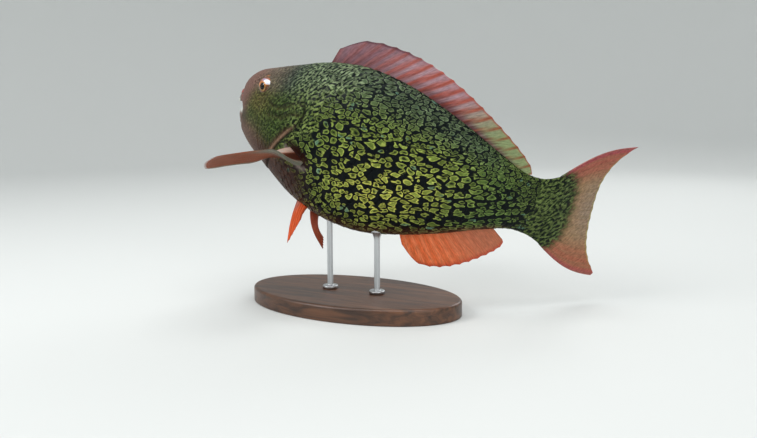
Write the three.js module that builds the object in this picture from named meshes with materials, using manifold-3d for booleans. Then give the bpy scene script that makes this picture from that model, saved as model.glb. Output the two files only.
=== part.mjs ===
// A life-size parrotfish in its red-finned first adult colours, turning as it swims, on a display stand.
// Millimetres, +Z up. The fish faces -X with its left side towards -Y, nose up, its head and tail both
// swung towards +Y. The origin is the middle of the base's underside.
import * as THREE from "three";
import { mergeVertices } from "three/addons/utils/BufferGeometryUtils.js";
import Module from "manifold-3d";

const wasm = await Module();
wasm.setup();

// Pose of the fish on its stand
const noseUp = THREE.MathUtils.degToRad(16);
const trunkTurn = 0.39; // radians that the backbone turns along the trunk
const tailTurn = 0.62; // and along the tail
const trunkBend = [56, 244]; // where the backbone bends, behind the snout
const tailBend = [225, 394];
const pivot = 169; // the point of the backbone that stays above the base's middle
const backboneHeight = 160; // of that point above the floor

// Clearance that touching pieces keep
const gap = 0.3;

// The body, snout to tail root, as rings from the floor of the mouth outwards over the lips and back.
// x is behind the snout; top and bottom are the heights of back and belly; half is half the width, which is
// reached at height mid; back and belly say how wedge-shaped the section is; sweep is how far the ring's
// sides lie behind its middle.
const ringKeys = ["x", "top", "mid", "bottom", "half", "back", "belly", "sweep"];
const rings = [
  [16, 2, -2, -6, 3.4, 1, 1, 2], // floor of the mouth
  [10, 6.5, -2, -10, 6.2, 1, 1, 7], // inside the lips
  [4, 9.5, -2, -12.5, 7.6, 1, 1, 10], // inner edge of the lips
  [2.2, 13, -1, -15, 8.8, 1, 1, 11], // crest of the lips
  [3.2, 17.5, 0, -18.5, 10.6, 1, 1, 11.5], // outer side of the lips
  [6.2, 20.5, 1, -21, 11.4, 1, 1, 10.5], // crease behind the lips
  [9.5, 29, 3, -26, 13.2, 1, 1, 8], // snout
  [17.5, 38, 5, -31.5, 16.6, 1, 1, 5], // bridge of the snout
  [30, 46.5, 7, -38.5, 20.8, 1.05, 1, 2], // forehead
  [46, 52.5, 8, -45, 24.6, 1.05, 1, 1], // before the eye
  [66, 59.5, 8, -51.5, 27.4, 1.08, 1, 0], // behind the eye
  [88, 67, 6, -60, 30, 1.1, 1, 0], // nape
  [110, 74.5, 4, -68, 31.8, 1.12, 0.98, 0], // gill cover
  [135, 80.5, 2, -74.5, 32.2, 1.15, 0.96, 0], // shoulder
  [165, 83.5, 0, -78.5, 31, 1.18, 0.95, 0], // deepest part
  [200, 80.5, -1, -77, 28, 1.2, 0.97, 0], // belly
  [236, 71.5, -1, -67.5, 23.2, 1.2, 1, 0], // vent
  [275, 57, -1, -53.5, 17.4, 1.15, 1.05, 0], // over the anal fin
  [310, 41, -1, -39.5, 12.2, 1.08, 1.05, 0], // end of the anal fin
  [338, 28.5, -2, -31.5, 8.4, 1, 1, 0], // tail stalk
  [358, 25.5, -3, -33, 5.8, 1, 1, 0], // narrowest part of the stalk
  [374, 29.5, -3, -39, 3.6, 1, 1, 0], // root of the tail fin
  [386, 36.5, -3, -47, 2.1, 1, 1, 0], // end of the scaly root
];
// The lower jaw lies this far back: fully below the second height, and fading out between the distances
const jaw = { back: 6.5, heights: [14, -10], fade: [30, 110] };
const around = 32; // points in a ring
const stepsBetween = [1, 1, 1, 2, 2, 2, 2, 2, 2, 2, 2, 2, 2, 2, 3, 3, 3, 3, 2, 2, 1, 1];

// Where the body is parted, as x and z seen from the side
const gillEdge = [[100, 46], [114, 38], [122, 26], [119, 11], [108, -3], [97, -17], [88, -30], [79, -44]];
const cheekEdge = [[84, 41], [73, 26], [67, 8], [65, -12], [68, -29], [74, -41]];
const stalkCut = { top: 343, bottom: 324 };
const coverRise = 0.9; // how far the gill cover stands out of the head
const coverDepth = 4; // and how deep it is let in
const coverInner = 6; // the nearest that it comes to the fish's middle

const eye = { x: 58, z: 34, ball: 9.8, seen: 7.4, rim: 1.3, out: 0.8 };
const nostrils = [{ x: 37, z: 33, radius: 1 }, { x: 42.5, z: 36, radius: 1.4 }];
const nostrilDepth = 3;

// The beak: two fused rows of teeth, bent round the front of the mouth
const beak = {
  half: 7, // half the beak's width
  turn: 1.6, // radians that each side runs back
  thick: 2,
  reach: 11.5, // how far the front lies before the middle, x
  upper: { middle: 13.5, root: 13.5, edge: 4, arch: 1.8, lean: 4.5, bulge: 0 },
  lower: { middle: 21.5, root: -17, edge: -1.2, arch: -1.8, lean: 5, bulge: 4 },
};

// Fins. Each margin is given as s along the fin from front to rear, and x and z seen from the side. The rays
// on the back and belly lean back: lean holds x of a ray's root and how far it goes back for each mm out.
const dorsalFin = {
  from: 119, spines: 9, rays: 10, sink: 5, wave: 1.6,
  lean: [[119, 0.41], [130, 0.8], [150, 1.1], [180, 1.4], [210, 1.7], [265, 2.4], [320, 3.6], [347, 4.2]],
  margin: [[0, 126, 94], [0.1, 154, 107], [0.25, 193, 108.5], [0.4, 229, 101.5], [0.55, 262, 88.5],
    [0.7, 296, 69.5], [0.85, 328, 48], [0.95, 344, 34], [1, 347, 27]],
};
const analFin = {
  from: 235, spines: 3, rays: 9, sink: 5, wave: 1.4,
  lean: [[235, 0.75], [262, 0.95], [290, 1.3], [340, 2]],
  margin: [[0, 244, -77], [0.2, 263, -89], [0.4, 284, -87], [0.6, 304, -78], [0.75, 321, -66],
    [0.88, 335, -54], [0.96, 340, -46.5], [1, 338, -42.5]],
};
const tailFin = {
  rays: 15, rootX: 378, middle: -3, rootUp: 33.5, rootDown: 38, upTip: [452, 75], downTip: [456, -65],
  forkX: 425, forkPower: 2.8, forkLift: 8, bulge: 8, wave: 2.5,
};
const pectoralFin = {
  rays: 12, length: 88, width: 50, sink: 4,
  root: [[116, -14.5], [134, -25]], // x and z of the first and the last ray's root
  span: [-0.176, -0.976, -0.127], // the way the blade points
  chord: [0.764, 0.009, 0.646], // the way from its first ray to its last
  lengthen: 0.4, // how much longer the last ray is
  rounding: 0.05, // and how much longer still the middle ones are
  arch: 2.6, flesh: 2,
};
const pelvicFins = {
  rays: 6, side: 7, rootChord: 15, sink: 7,
  left: { x: 131, length: 54.3, span: [0.272, -0.658, -0.695], fan: [3.8, 2, 1.5], shorten: 0.55, arch: 2.5 },
  right: { x: 137.3, length: 51, span: [0.445, 0, -0.896], fan: [6.7, -2, -4.2], shorten: 0.4, arch: -9.8 },
};
const membrane = 0.42; // half the thickness of a fin between its rays
const rayRise = 0.5; // how far a ray stands out on each side at the fin's root
const rootFlesh = 0.5; // how much thicker each side is at the root

// The stand
const base = { length: 230, width: 130, height: 16, bevel: 2.5 };
const rod = { radius: 3, at: [-28, 26], cup: 6.5, cupHeight: 9, foot: 8, footHeight: 3, into: 30 };

const colours = {
  skin: 0x4c4a2c, face: 0x7a5a50, cover: 0x5a5a34, fin: 0xc4503a, beak: 0xdfe9e6,
  eye: 0xd07a2a, wood: 0x5b3a22, steel: 0xb8bcc0,
};

// Value of a smooth curve through (at[i], value[i]), with slopes taken between neighbours.
function through(at, value, u) {
  let i = 0;
  while (i < at.length - 2 && u > at[i + 1]) i++;
  const slope = (k) => {
    const a = Math.max(k - 1, 0);
    const b = Math.min(k + 1, at.length - 1);
    return (value[b] - value[a]) / (at[b] - at[a]);
  };
  const span = at[i + 1] - at[i];
  const t = (u - at[i]) / span;
  const t2 = t * t;
  const t3 = t2 * t;
  return (2 * t3 - 3 * t2 + 1) * value[i] + (t3 - 2 * t2 + t) * span * slope(i)
    + (3 * t2 - 2 * t3) * value[i + 1] + (t3 - t2) * span * slope(i + 1);
}

function smooth(from, to, x) {
  const t = Math.min(Math.max((x - from) / (to - from), 0), 1);
  return t * t * (3 - 2 * t);
}

// Rings of the body by their number, which may be a fraction
const ringNumbers = rings.map((_, i) => i);
function ringAt(u) {
  const found = {};
  ringKeys.forEach((key, k) => { found[key] = through(ringNumbers, rings.map((r) => r[k]), u); });
  return found;
}

// Back, belly or half width of the body at a distance x behind the snout, from the snout ring on
const firstOuter = 6;
function bodyAt(key, x) {
  const outer = rings.slice(firstOuter);
  return through(outer.map((r) => r[0]), outer.map((r) => r[ringKeys.indexOf(key)]), x);
}

function ringPoint(ring, angle) {
  const up = Math.cos(angle);
  const out = Math.sin(angle);
  const power = up > 0 ? ring.back : ring.belly;
  const across = Math.sign(out) * Math.abs(out) ** power;
  const rise = up > 0 ? ring.top - ring.mid : ring.mid - ring.bottom;
  const x = ring.x + ring.sweep * across * across;
  const z = ring.mid + rise * up;
  const receding = jaw.back * smooth(...jaw.heights, z) * (1 - smooth(...jaw.fade, x));
  return new THREE.Vector3(x + receding, ring.half * across, z);
}

// y of the body's left side at x and z
function leftSide(x, z) {
  const mid = bodyAt("mid", x);
  const rise = z > mid ? bodyAt("top", x) - mid : mid - bodyAt("bottom", x);
  const up = Math.min(Math.abs(z - mid) / rise, 1);
  const power = bodyAt(z > mid ? "back" : "belly", x);
  return -bodyAt("half", x) * Math.sqrt(1 - up * up) ** power;
}

function geometryFrom(points, faces) {
  const g = new THREE.BufferGeometry();
  g.setAttribute("position", new THREE.Float32BufferAttribute(points.flatMap((p) => [p.x, p.y, p.z]), 3));
  g.setIndex(faces.flat());
  return g;
}

// A closed geometry as a solid, its faces turned outwards
function solidOf(geometry) {
  const g = geometry.clone();
  g.deleteAttribute("normal");
  g.deleteAttribute("uv");
  const merged = mergeVertices(g, 1e-4);
  const vertProperties = new Float32Array(merged.attributes.position.array);
  const triVerts = new Uint32Array(merged.index.array);
  const made = new wasm.Manifold(new wasm.Mesh({ numProp: 3, vertProperties, triVerts }));
  if (made.volume() > 0) return made;
  return new wasm.Manifold(new wasm.Mesh({ numProp: 3, vertProperties, triVerts: triVerts.reverse() }));
}

function geometryOf(solid) {
  const m = solid.getMesh();
  const g = new THREE.BufferGeometry();
  g.setAttribute("position", new THREE.BufferAttribute(new Float32Array(m.vertProperties), 3));
  g.setIndex(new THREE.BufferAttribute(new Uint32Array(m.triVerts), 1));
  return g;
}

function largest(solid) {
  return solid.decompose().sort((a, b) => b.volume() - a.volume())[0];
}

// The body as one closed skin. grow makes it that much larger all round.
function bodySolid(grow = 0, first = 0) {
  const points = [];
  const faces = [];
  const numbers = [];
  for (let i = first; i < rings.length - 1; i++) {
    for (let k = 0; k < stepsBetween[i]; k++) numbers.push(i + k / stepsBetween[i]);
  }
  numbers.push(rings.length - 1);
  for (const u of numbers) {
    const ring = ringAt(u);
    for (let k = 0; k < around; k++) points.push(ringPoint(ring, (2 * Math.PI * k) / around));
  }
  const at = (row, k) => row * around + ((k + around) % around);
  for (let row = 0; row < numbers.length - 1; row++) {
    for (let k = 0; k < around; k++) {
      const [a, b, c, d] = [at(row, k), at(row + 1, k), at(row, k + 1), at(row + 1, k + 1)];
      faces.push([a, b, c], [c, b, d]);
    }
  }
  const ends = [[0, 1], [numbers.length - 1, -1]];
  for (const [row, way] of ends) {
    const centre = new THREE.Vector3();
    for (let k = 0; k < around; k++) centre.addScaledVector(points[at(row, k)], 1 / around);
    points.push(centre);
    for (let k = 0; k < around; k++) {
      const face = [points.length - 1, at(row, k), at(row, k + 1)];
      faces.push(way > 0 ? face : face.reverse());
    }
  }
  const g = geometryFrom(points, faces);
  if (grow) {
    g.computeVertexNormals();
    const { position, normal } = g.attributes;
    for (let i = 0; i < position.count; i++) {
      position.setXYZ(
        i,
        position.getX(i) + grow * normal.getX(i),
        position.getY(i) + grow * normal.getY(i),
        position.getZ(i) + grow * normal.getZ(i),
      );
    }
  }
  return solidOf(g);
}

// A slab of the given side view, from y low to y high
function slab(outline, low, high) {
  const shape = new THREE.Shape(outline.map(([x, z]) => new THREE.Vector2(x, z)));
  const g = new THREE.ExtrudeGeometry(shape, { depth: high - low, bevelEnabled: false });
  g.rotateX(Math.PI / 2);
  g.translate(0, high, 0);
  return solidOf(g);
}

function curvePoints(points, count) {
  const curve = new THREE.SplineCurve(points.map(([x, z]) => new THREE.Vector2(x, z)));
  return curve.getPoints(count).map((p) => [p.x, p.y]);
}

// A clockwise outline made larger all round: every corner moves out along the mitre of its two edges
function grownOutline(outline, grow) {
  const outwards = ([ax, az], [bx, bz]) => new THREE.Vector2(az - bz, bx - ax).normalize();
  return outline.map(([x, z], i) => {
    const before = outwards(outline.at(i - 1), [x, z]);
    const after = outwards([x, z], outline[(i + 1) % outline.length]);
    const mitre = before.clone().add(after).divideScalar(Math.max(1 + before.dot(after), 0.4));
    return [x + mitre.x * grow, z + mitre.y * grow];
  });
}

// The same line moved along x, to leave the gap between two parts
const moved = (line, dx) => line.map(([x, z]) => [x + dx, z]);

// A fin: a curved sheet with a point for each (s, t), s along its root and t from root to margin, and half
// its thickness there. Both faces are split alike.
function finSolid(surface, half, columns, rows) {
  const points = [];
  const faces = [];
  const step = 1e-3;
  const across = rows + 1;
  for (const side of [1, -1]) {
    for (const s of columns) {
      for (let j = 0; j <= rows; j++) {
        const t = j / rows;
        const along = surface(s + step, t).sub(surface(s - step, t));
        const out = surface(s, t + step).sub(surface(s, t - step));
        const normal = along.cross(out).normalize();
        points.push(surface(s, t).addScaledVector(normal, side * half(s, t)));
      }
    }
  }
  const count = columns.length * across;
  const at = (i, j, side) => (side > 0 ? 0 : count) + i * across + j;
  for (let i = 0; i < columns.length - 1; i++) {
    for (let j = 0; j < rows; j++) {
      const [a, b, c, d] = [[i, j], [i + 1, j], [i + 1, j + 1], [i, j + 1]];
      faces.push([at(...a, 1), at(...b, 1), at(...c, 1)], [at(...a, 1), at(...c, 1), at(...d, 1)]);
      faces.push([at(...b, -1), at(...a, -1), at(...c, -1)], [at(...c, -1), at(...a, -1), at(...d, -1)]);
    }
  }
  const rim = [];
  for (let i = 0; i < columns.length - 1; i++) rim.push([i, 0]);
  for (let j = 0; j < rows; j++) rim.push([columns.length - 1, j]);
  for (let i = columns.length - 1; i > 0; i--) rim.push([i, rows]);
  for (let j = rows; j > 0; j--) rim.push([0, j]);
  rim.forEach((a, k) => {
    const b = rim[(k + 1) % rim.length];
    faces.push([at(...a, 1), at(...a, -1), at(...b, -1)], [at(...a, 1), at(...b, -1), at(...b, 1)]);
  });
  return solidOf(geometryFrom(points, faces));
}

// Places of the rays and of the membrane between them, for s from 0 to 1
function finColumns(rays) {
  const columns = [];
  for (let i = 0; i < 2 * rays - 1; i++) columns.push(i / (2 * rays - 2));
  return columns;
}

// Half the thickness of a fin: rays stand out at the columns that hold them and fade towards the margin
function rayedHalf(rays, flesh = rootFlesh) {
  return (s, t) => {
    const crest = 0.5 + 0.5 * Math.cos(2 * Math.PI * s * (rays - 1));
    return (membrane + rayRise * crest) * (1 - 0.45 * t) + flesh * (1 - t) ** 3;
  };
}

const lerp = (a, b, t) => a + (b - a) * t;
const vector = ([x, y, z]) => new THREE.Vector3(x, y, z);

// Value of a straight-sided curve through the pairs [at, value]
function between(pairs, u) {
  let i = 0;
  while (i < pairs.length - 2 && u > pairs[i + 1][0]) i++;
  const [[a, low], [b, high]] = [pairs[i], pairs[i + 1]];
  return lerp(low, high, Math.min(Math.max((u - a) / (b - a), 0), 1));
}

// x where the leaning ray through (x, z) leaves the body, found by halving
function rayRoot({ from, lean }, edge, x, z) {
  let low = from - 30;
  let high = 400;
  for (let k = 0; k < 32; k++) {
    const middle = (low + high) / 2;
    const reached = middle + between(lean, middle) * Math.abs(z - bodyAt(edge, middle));
    if (reached < x) low = middle;
    else high = middle;
  }
  return low;
}

// The sheet of a fin on the back or belly: s runs along the roots of its rays, t out along them
function medianSurface(fin, edge) {
  const { sink, wave, margin } = fin;
  const places = margin.map((m) => m[0]);
  const tips = [];
  for (let k = 0; k <= 120; k++) {
    const x = through(places, margin.map((m) => m[1]), k / 120);
    const z = through(places, margin.map((m) => m[2]), k / 120);
    const before = k ? tips[k - 1].root + 1e-4 : 0;
    tips.push({ x, z, root: Math.max(before, rayRoot(fin, edge, x, z)) });
  }
  const tipX = tips.map((tip) => [tip.root, tip.x]);
  const tipZ = tips.map((tip) => [tip.root, tip.z]);
  return (s, t) => {
    const x = lerp(tips[0].root, tips.at(-1).root, s);
    const body = bodyAt(edge, x);
    const rootX = x - 0.4 * sink * between(fin.lean, x) * smooth(0, 0.1, s);
    return new THREE.Vector3(
      lerp(rootX, between(tipX, x), t),
      wave * Math.sin(5 * s + 1) * t * t,
      lerp(body - sink * Math.sign(body), between(tipZ, x), t),
    );
  };
}

const dorsalPoint = medianSurface(dorsalFin, "top");
const analPoint = medianSurface(analFin, "bottom");

function tailPoint(s, t) {
  const { rootX, middle, rootUp, rootDown, upTip, downTip } = tailFin;
  const { forkX, forkPower, forkLift, bulge, wave } = tailFin;
  const h = 2 * s - 1; // -1 at the lower edge, 1 at the upper
  const [tipX, tipZ] = h > 0 ? upTip : downTip;
  const rootZ = middle + h * (h > 0 ? rootUp : rootDown);
  const edgeX = forkX + (tipX - forkX) * Math.abs(h) ** forkPower;
  const edgeZ = middle + forkLift * (1 - Math.abs(h)) + (tipZ - middle) * Math.abs(h);
  return new THREE.Vector3(
    lerp(rootX, edgeX, t),
    wave * Math.sin(3.5 * h) * t * t,
    lerp(rootZ, edgeZ, t) + bulge * h * Math.sin(Math.PI * t),
  );
}

// Left pectoral fin: its root slants down behind the gill cover, and the blade turns out of it, held out
// like a wing
function pectoralPoint(s, t) {
  const { length, width, sink, root, arch } = pectoralFin;
  const [[x0, z0], [x1, z1]] = root;
  const [x, z] = [lerp(x0, x1, s), lerp(z0, z1, s)];
  const [midX, midZ] = [(x0 + x1) / 2, (z0 + z1) / 2];
  const rootPoint = new THREE.Vector3(x, leftSide(x, z) + sink, z);
  const middle = new THREE.Vector3(midX, leftSide(midX, midZ) + sink, midZ);
  const span = vector(pectoralFin.span).normalize();
  const chord = vector(pectoralFin.chord).normalize();
  const lift = new THREE.Vector3().crossVectors(span, chord).normalize();
  const turned = smooth(0, 0.5, t);
  const reach = length * (1 + pectoralFin.lengthen * s + pectoralFin.rounding * Math.sin(Math.PI * s));
  return rootPoint.lerp(middle, turned)
    .addScaledVector(span, reach * t)
    .addScaledVector(chord, (s - 0.38) * width * turned * (0.7 + 0.3 * t))
    .addScaledVector(lift, arch * Math.sin(Math.PI * t));
}

// A pelvic fin: a narrow folded fan under the breast. way is -1 on the left and 1 on the right.
function pelvicPoint({ x, length, span, fan, shorten, arch }, way, s, t) {
  const { side, rootChord, sink } = pelvicFins;
  const rootX = x + (s - 0.5) * rootChord;
  const rootPoint = new THREE.Vector3(rootX, way * side, bodyAt("bottom", rootX) + sink);
  const tip = new THREE.Vector3(x, way * side, bodyAt("bottom", x) + sink)
    .addScaledVector(vector(span).normalize(), length * (1 - shorten * s))
    .addScaledVector(vector(fan), s);
  return rootPoint.lerp(tip, t).add(new THREE.Vector3(0, way * arch * Math.sin(Math.PI * t), 0));
}

// One half of the beak: a row of teeth bent round the mouth, from its root, t = 0, to its thin edge
function beakSolid({ middle, root, edge, arch, lean, bulge }) {
  const surface = (s, t) => {
    const turn = (2 * s - 1) * beak.turn;
    const front = beak.reach - lean * (1 - t) ** 2 + bulge * Math.sin(Math.PI * t);
    return new THREE.Vector3(
      middle - front * Math.cos(turn),
      beak.half * Math.sin(turn),
      lerp(root, edge, t) + arch * (1 - Math.cos(turn)),
    );
  };
  const half = (s, t) => (beak.thick / 2) * (1 - 0.6 * t);
  const columns = Array.from({ length: 13 }, (_, i) => i / 12);
  return finSolid(surface, half, columns, 4);
}

function mirrored(solid) {
  return solidOf(geometryOf(solid).scale(1, -1, 1));
}

// The backbone, as its heading and place at each distance behind the snout
const heading = (x) => trunkTurn * smooth(...trunkBend, x) + tailTurn * smooth(...tailBend, x);
const backbone = { start: -60, step: 1, places: [] };
{
  const zero = heading(pivot);
  let [x, y] = [0, 0];
  for (let d = backbone.start; d <= 520; d += backbone.step) {
    const angle = heading(d + backbone.step / 2) - zero;
    backbone.places.push({ x, y, angle: heading(d) - zero });
    x += Math.cos(angle) * backbone.step;
    y += Math.sin(angle) * backbone.step;
  }
  const middle = backbone.places[(pivot - backbone.start) / backbone.step];
  const { x: mx, y: my } = middle;
  backbone.places.forEach((p) => { p.x -= mx; p.y -= my; });
}

// Bends a straight fish's geometry along the backbone
function bent(geometry) {
  const { position } = geometry.attributes;
  for (let i = 0; i < position.count; i++) {
    const f = (position.getX(i) - backbone.start) / backbone.step;
    const a = backbone.places[Math.floor(f)];
    const b = backbone.places[Math.floor(f) + 1];
    const t = f - Math.floor(f);
    const angle = lerp(a.angle, b.angle, t);
    const y = position.getY(i);
    position.setXY(i, lerp(a.x, b.x, t) - Math.sin(angle) * y, lerp(a.y, b.y, t) + Math.cos(angle) * y);
  }
  return geometry;
}

const fish = new THREE.Group();
fish.rotation.y = noseUp;
fish.position.z = backboneHeight;
const parrotfish = new THREE.Group();
parrotfish.add(fish);

function material(colour, roughness = 0.5, metalness = 0) {
  return new THREE.MeshStandardMaterial({ color: colour, roughness, metalness });
}

function addPart(name, solid, colour) {
  const mesh = new THREE.Mesh(bent(geometryOf(largest(solid))), material(colour));
  mesh.name = name;
  fish.add(mesh);
}

const body = bodySolid();
const bodyAndGap = bodySolid(gap);
const core = bodySolid(-coverDepth, firstOuter);
const coreAndGap = bodySolid(-coverDepth - gap, firstOuter);
const grown = bodySolid(coverRise, firstOuter);

// Side views of the parts
const gillLine = curvePoints(gillEdge, 16);
const cheekLine = curvePoints(cheekEdge, 12);
const far = 200;
const headView = [[-40, far], [gillLine[0][0], far], ...gillLine, [gillLine.at(-1)[0], -far], [-40, -far]];
const behindHead = [[far * 3, far], [gillLine[0][0] + gap, far], ...moved(gillLine, gap),
  [gillLine.at(-1)[0] + gap, -far], [far * 3, -far]];
const coverView = [...gillLine, ...[...cheekLine].reverse()];
const coverHole = grownOutline(coverView, gap);
const stalkView = [[stalkCut.top, far], [stalkCut.bottom, -far], [far * 3, -far], [far * 3, far]];
const trunkView = [[-40, far], [stalkCut.top - gap, far], [stalkCut.bottom - gap, -far], [-40, -far]];

function eyeSocket(side) {
  const surfaceY = leftSide(eye.x, eye.z);
  const slopeX = (leftSide(eye.x + 4, eye.z) - leftSide(eye.x - 4, eye.z)) / 8;
  const slopeZ = (leftSide(eye.x, eye.z + 4) - leftSide(eye.x, eye.z - 4)) / 8;
  const out = new THREE.Vector3(slopeX, -1, slopeZ).normalize();
  const depth = Math.sqrt(eye.ball ** 2 - eye.seen ** 2);
  const front = new THREE.Vector3(eye.x, surfaceY, eye.z).addScaledVector(out, eye.out);
  const centre = front.clone().addScaledVector(out, -depth);
  const flip = (v) => new THREE.Vector3(v.x, v.y * -side, v.z);
  return { front: flip(front), centre: flip(centre), out: flip(out) };
}

function ball(centre, radius) {
  const g = new THREE.SphereGeometry(radius, 20, 13);
  g.translate(centre.x, centre.y, centre.z);
  return solidOf(g);
}

function rimSolid({ front, out }) {
  const g = new THREE.TorusGeometry(eye.seen + eye.rim / 2, eye.rim, 7, 22);
  g.applyQuaternion(new THREE.Quaternion().setFromUnitVectors(new THREE.Vector3(0, 0, 1), out));
  g.translate(front.x - out.x * 0.5, front.y - out.y * 0.5, front.z - out.z * 0.5);
  return solidOf(g);
}

function nostrilSolid({ x, z, radius }, side) {
  const g = new THREE.CylinderGeometry(radius, radius, 2 * nostrilDepth, 10);
  g.translate(x, leftSide(x, z) * -side, z);
  return solidOf(g);
}

let head = body.intersect(slab(headView, -far, far));
let coverHoles = slab(coverHole, -far, far).subtract(coreAndGap);
head = head.subtract(coverHoles);
for (const side of [-1, 1]) {
  const socket = eyeSocket(side);
  head = head.add(rimSolid(socket)).subtract(ball(socket.centre, eye.ball + gap));
  for (const nostril of nostrils) head = head.subtract(nostrilSolid(nostril, side));
}
addPart("head", head, colours.face);

for (const [name, side] of [["left", -1], ["right", 1]]) {
  const reach = side < 0 ? [-far, -coverInner] : [coverInner, far];
  const cover = grown.intersect(slab(coverView, ...reach)).subtract(core);
  addPart(`gill_cover_${name}`, cover, colours.cover);
  const { centre } = eyeSocket(side);
  addPart(`eye_${name}`, ball(centre, eye.ball), colours.eye);
}

const trunk = body.intersect(slab(behindHead, -far, far)).intersect(slab(trunkView, -far, far));
addPart("trunk", trunk, colours.skin);
const stalk = body.intersect(slab(stalkView, -far, far));
addPart("tail_stalk", stalk, colours.skin);

addPart("beak_upper", beakSolid(beak.upper).subtract(bodyAndGap), colours.beak);
addPart("beak_lower", beakSolid(beak.lower).subtract(bodyAndGap), colours.beak);

const dorsalRays = dorsalFin.spines + dorsalFin.rays;
const dorsal = finSolid(dorsalPoint, rayedHalf(dorsalRays), finColumns(dorsalRays), 5);
addPart("dorsal_fin", dorsal.subtract(bodyAndGap), colours.fin);

const analRays = analFin.spines + analFin.rays;
const anal = finSolid(analPoint, rayedHalf(analRays), finColumns(analRays), 5);
addPart("anal_fin", anal.subtract(bodyAndGap), colours.fin);

const tail = finSolid(tailPoint, rayedHalf(tailFin.rays), finColumns(tailFin.rays), 6);
addPart("tail_fin", tail.subtract(bodyAndGap), colours.fin);

const { rays: pectoralRays, flesh } = pectoralFin;
const pectoral = finSolid(pectoralPoint, rayedHalf(pectoralRays, flesh), finColumns(pectoralRays), 8)
  .subtract(bodyAndGap);
addPart("pectoral_fin_left", pectoral, colours.fin);
addPart("pectoral_fin_right", mirrored(pectoral), colours.fin);

for (const [name, way] of [["left", -1], ["right", 1]]) {
  const surface = (s, t) => pelvicPoint(pelvicFins[name], way, s, t);
  const fin = finSolid(surface, rayedHalf(pelvicFins.rays), finColumns(pelvicFins.rays), 6);
  addPart(`pelvic_fin_${name}`, fin.subtract(bodyAndGap), colours.fin);
}

// The stand
function addStand(name, geometry, colour, roughness, metalness) {
  const mesh = new THREE.Mesh(geometry, material(colour, roughness, metalness));
  mesh.name = name;
  parrotfish.add(mesh);
}

const plate = new THREE.Shape();
plate.absellipse(0, 0, base.length / 2 - base.bevel, base.width / 2 - base.bevel, 0, 2 * Math.PI);
const plateGeometry = new THREE.ExtrudeGeometry(plate, {
  depth: base.height - 2 * base.bevel,
  bevelThickness: base.bevel,
  bevelSize: base.bevel,
  bevelSegments: 2,
  curveSegments: 26,
});
plateGeometry.translate(0, 0, base.bevel);
addStand("stand_base", plateGeometry, colours.wood, 0.5, 0);

fish.updateMatrixWorld(true);
const placed = bent(geometryOf(bodyAndGap));
placed.applyMatrix4(fish.matrixWorld);
const placedBody = solidOf(placed);

rod.at.forEach((x, i) => {
  const foot = base.height + gap;
  const top = backboneHeight - rod.into;
  const bellyHeight = backboneHeight - x * Math.sin(noseUp) + bodyAt("bottom", pivot + x) * Math.cos(noseUp);
  const profile = [
    [0, foot], [rod.foot, foot], [rod.foot, foot + rod.footHeight], [rod.radius, foot + rod.footHeight],
    [rod.radius, bellyHeight - rod.cupHeight], [rod.cup, bellyHeight + 3], [rod.cup, top], [0, top],
  ].map(([r, z]) => new THREE.Vector2(r, z));
  const g = new THREE.LatheGeometry(profile, 18);
  g.rotateX(Math.PI / 2);
  g.translate(x, 0, 0);
  const cut = largest(solidOf(g).subtract(placedBody));
  addStand(`stand_rod_${i === 0 ? "front" : "rear"}`, geometryOf(cut), colours.steel, 0.3, 1);
});

export default parrotfish;
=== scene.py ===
# Dresses the parrotfish and its stand: skin, scales, rayed fins, beak, eyes, oval base and rods.
# All shapes are worked out in millimetres on a straight fish, snout at x = 0 and tail at x = 386,
# left side towards -Y, and then bent along its backbone, tipped nose-up and lifted onto the stand.
import bpy
import numpy as np
from functools import partial
from math import radians, pi
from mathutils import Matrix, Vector


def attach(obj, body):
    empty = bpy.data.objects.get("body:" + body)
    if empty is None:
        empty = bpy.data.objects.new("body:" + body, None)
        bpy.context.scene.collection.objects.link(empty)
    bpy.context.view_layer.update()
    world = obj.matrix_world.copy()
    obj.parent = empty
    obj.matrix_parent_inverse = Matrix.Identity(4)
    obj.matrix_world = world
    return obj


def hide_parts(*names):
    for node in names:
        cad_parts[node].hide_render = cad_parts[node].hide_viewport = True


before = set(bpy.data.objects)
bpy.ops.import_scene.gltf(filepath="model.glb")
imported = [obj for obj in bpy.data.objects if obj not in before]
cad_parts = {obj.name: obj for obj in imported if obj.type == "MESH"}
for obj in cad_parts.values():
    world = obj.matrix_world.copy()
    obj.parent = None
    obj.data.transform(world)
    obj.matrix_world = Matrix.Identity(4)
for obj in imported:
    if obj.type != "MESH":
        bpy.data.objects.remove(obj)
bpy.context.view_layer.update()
print("frame loaded,", len(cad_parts), "nodes")

mm = 0.001
rng = np.random.default_rng(11)

# Helpers for shapes


def smooth(a, b, x):  # 0 before a, 1 after b, an S-shaped step between
    t = np.clip((np.asarray(x, float) - a) / (b - a), 0, 1)
    return t * t * (3 - 2 * t)


def bell(x, width):  # 1 at x = 0, falls off like exp(-(x / width)^2)
    return np.exp(-(np.asarray(x, float) / width) ** 2)


def mix(a, b, t):  # a where t = 0, b where t = 1, in a straight line between
    return a + (b - a) * t


# Curve through (at, value): between knots a cubic, whose slope at each knot is that from the knot before
# to the knot after
def through(at, value, u):
    at, value, u = np.asarray(at, float), np.asarray(value, float), np.asarray(u, float)
    knots = np.arange(len(at))
    before, after = np.maximum(knots - 1, 0), np.minimum(knots + 1, len(at) - 1)
    run = at[after] - at[before]
    slope = (value[after] - value[before]) / (run if value.ndim == 1 else run[:, None])
    i = np.clip(np.searchsorted(at, u) - 1, 0, len(at) - 2)
    span = at[i + 1] - at[i]
    t = (u - at[i]) / span
    if value.ndim > 1:
        t, span = t[..., None], span[..., None]
    return ((2 * t**3 - 3 * t**2 + 1) * value[i] + (t**3 - 2 * t**2 + t) * span * slope[i]
            + (3 * t**2 - 2 * t**3) * value[i + 1] + (t**3 - t**2) * span * slope[i + 1])


# Pose of the fish

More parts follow.
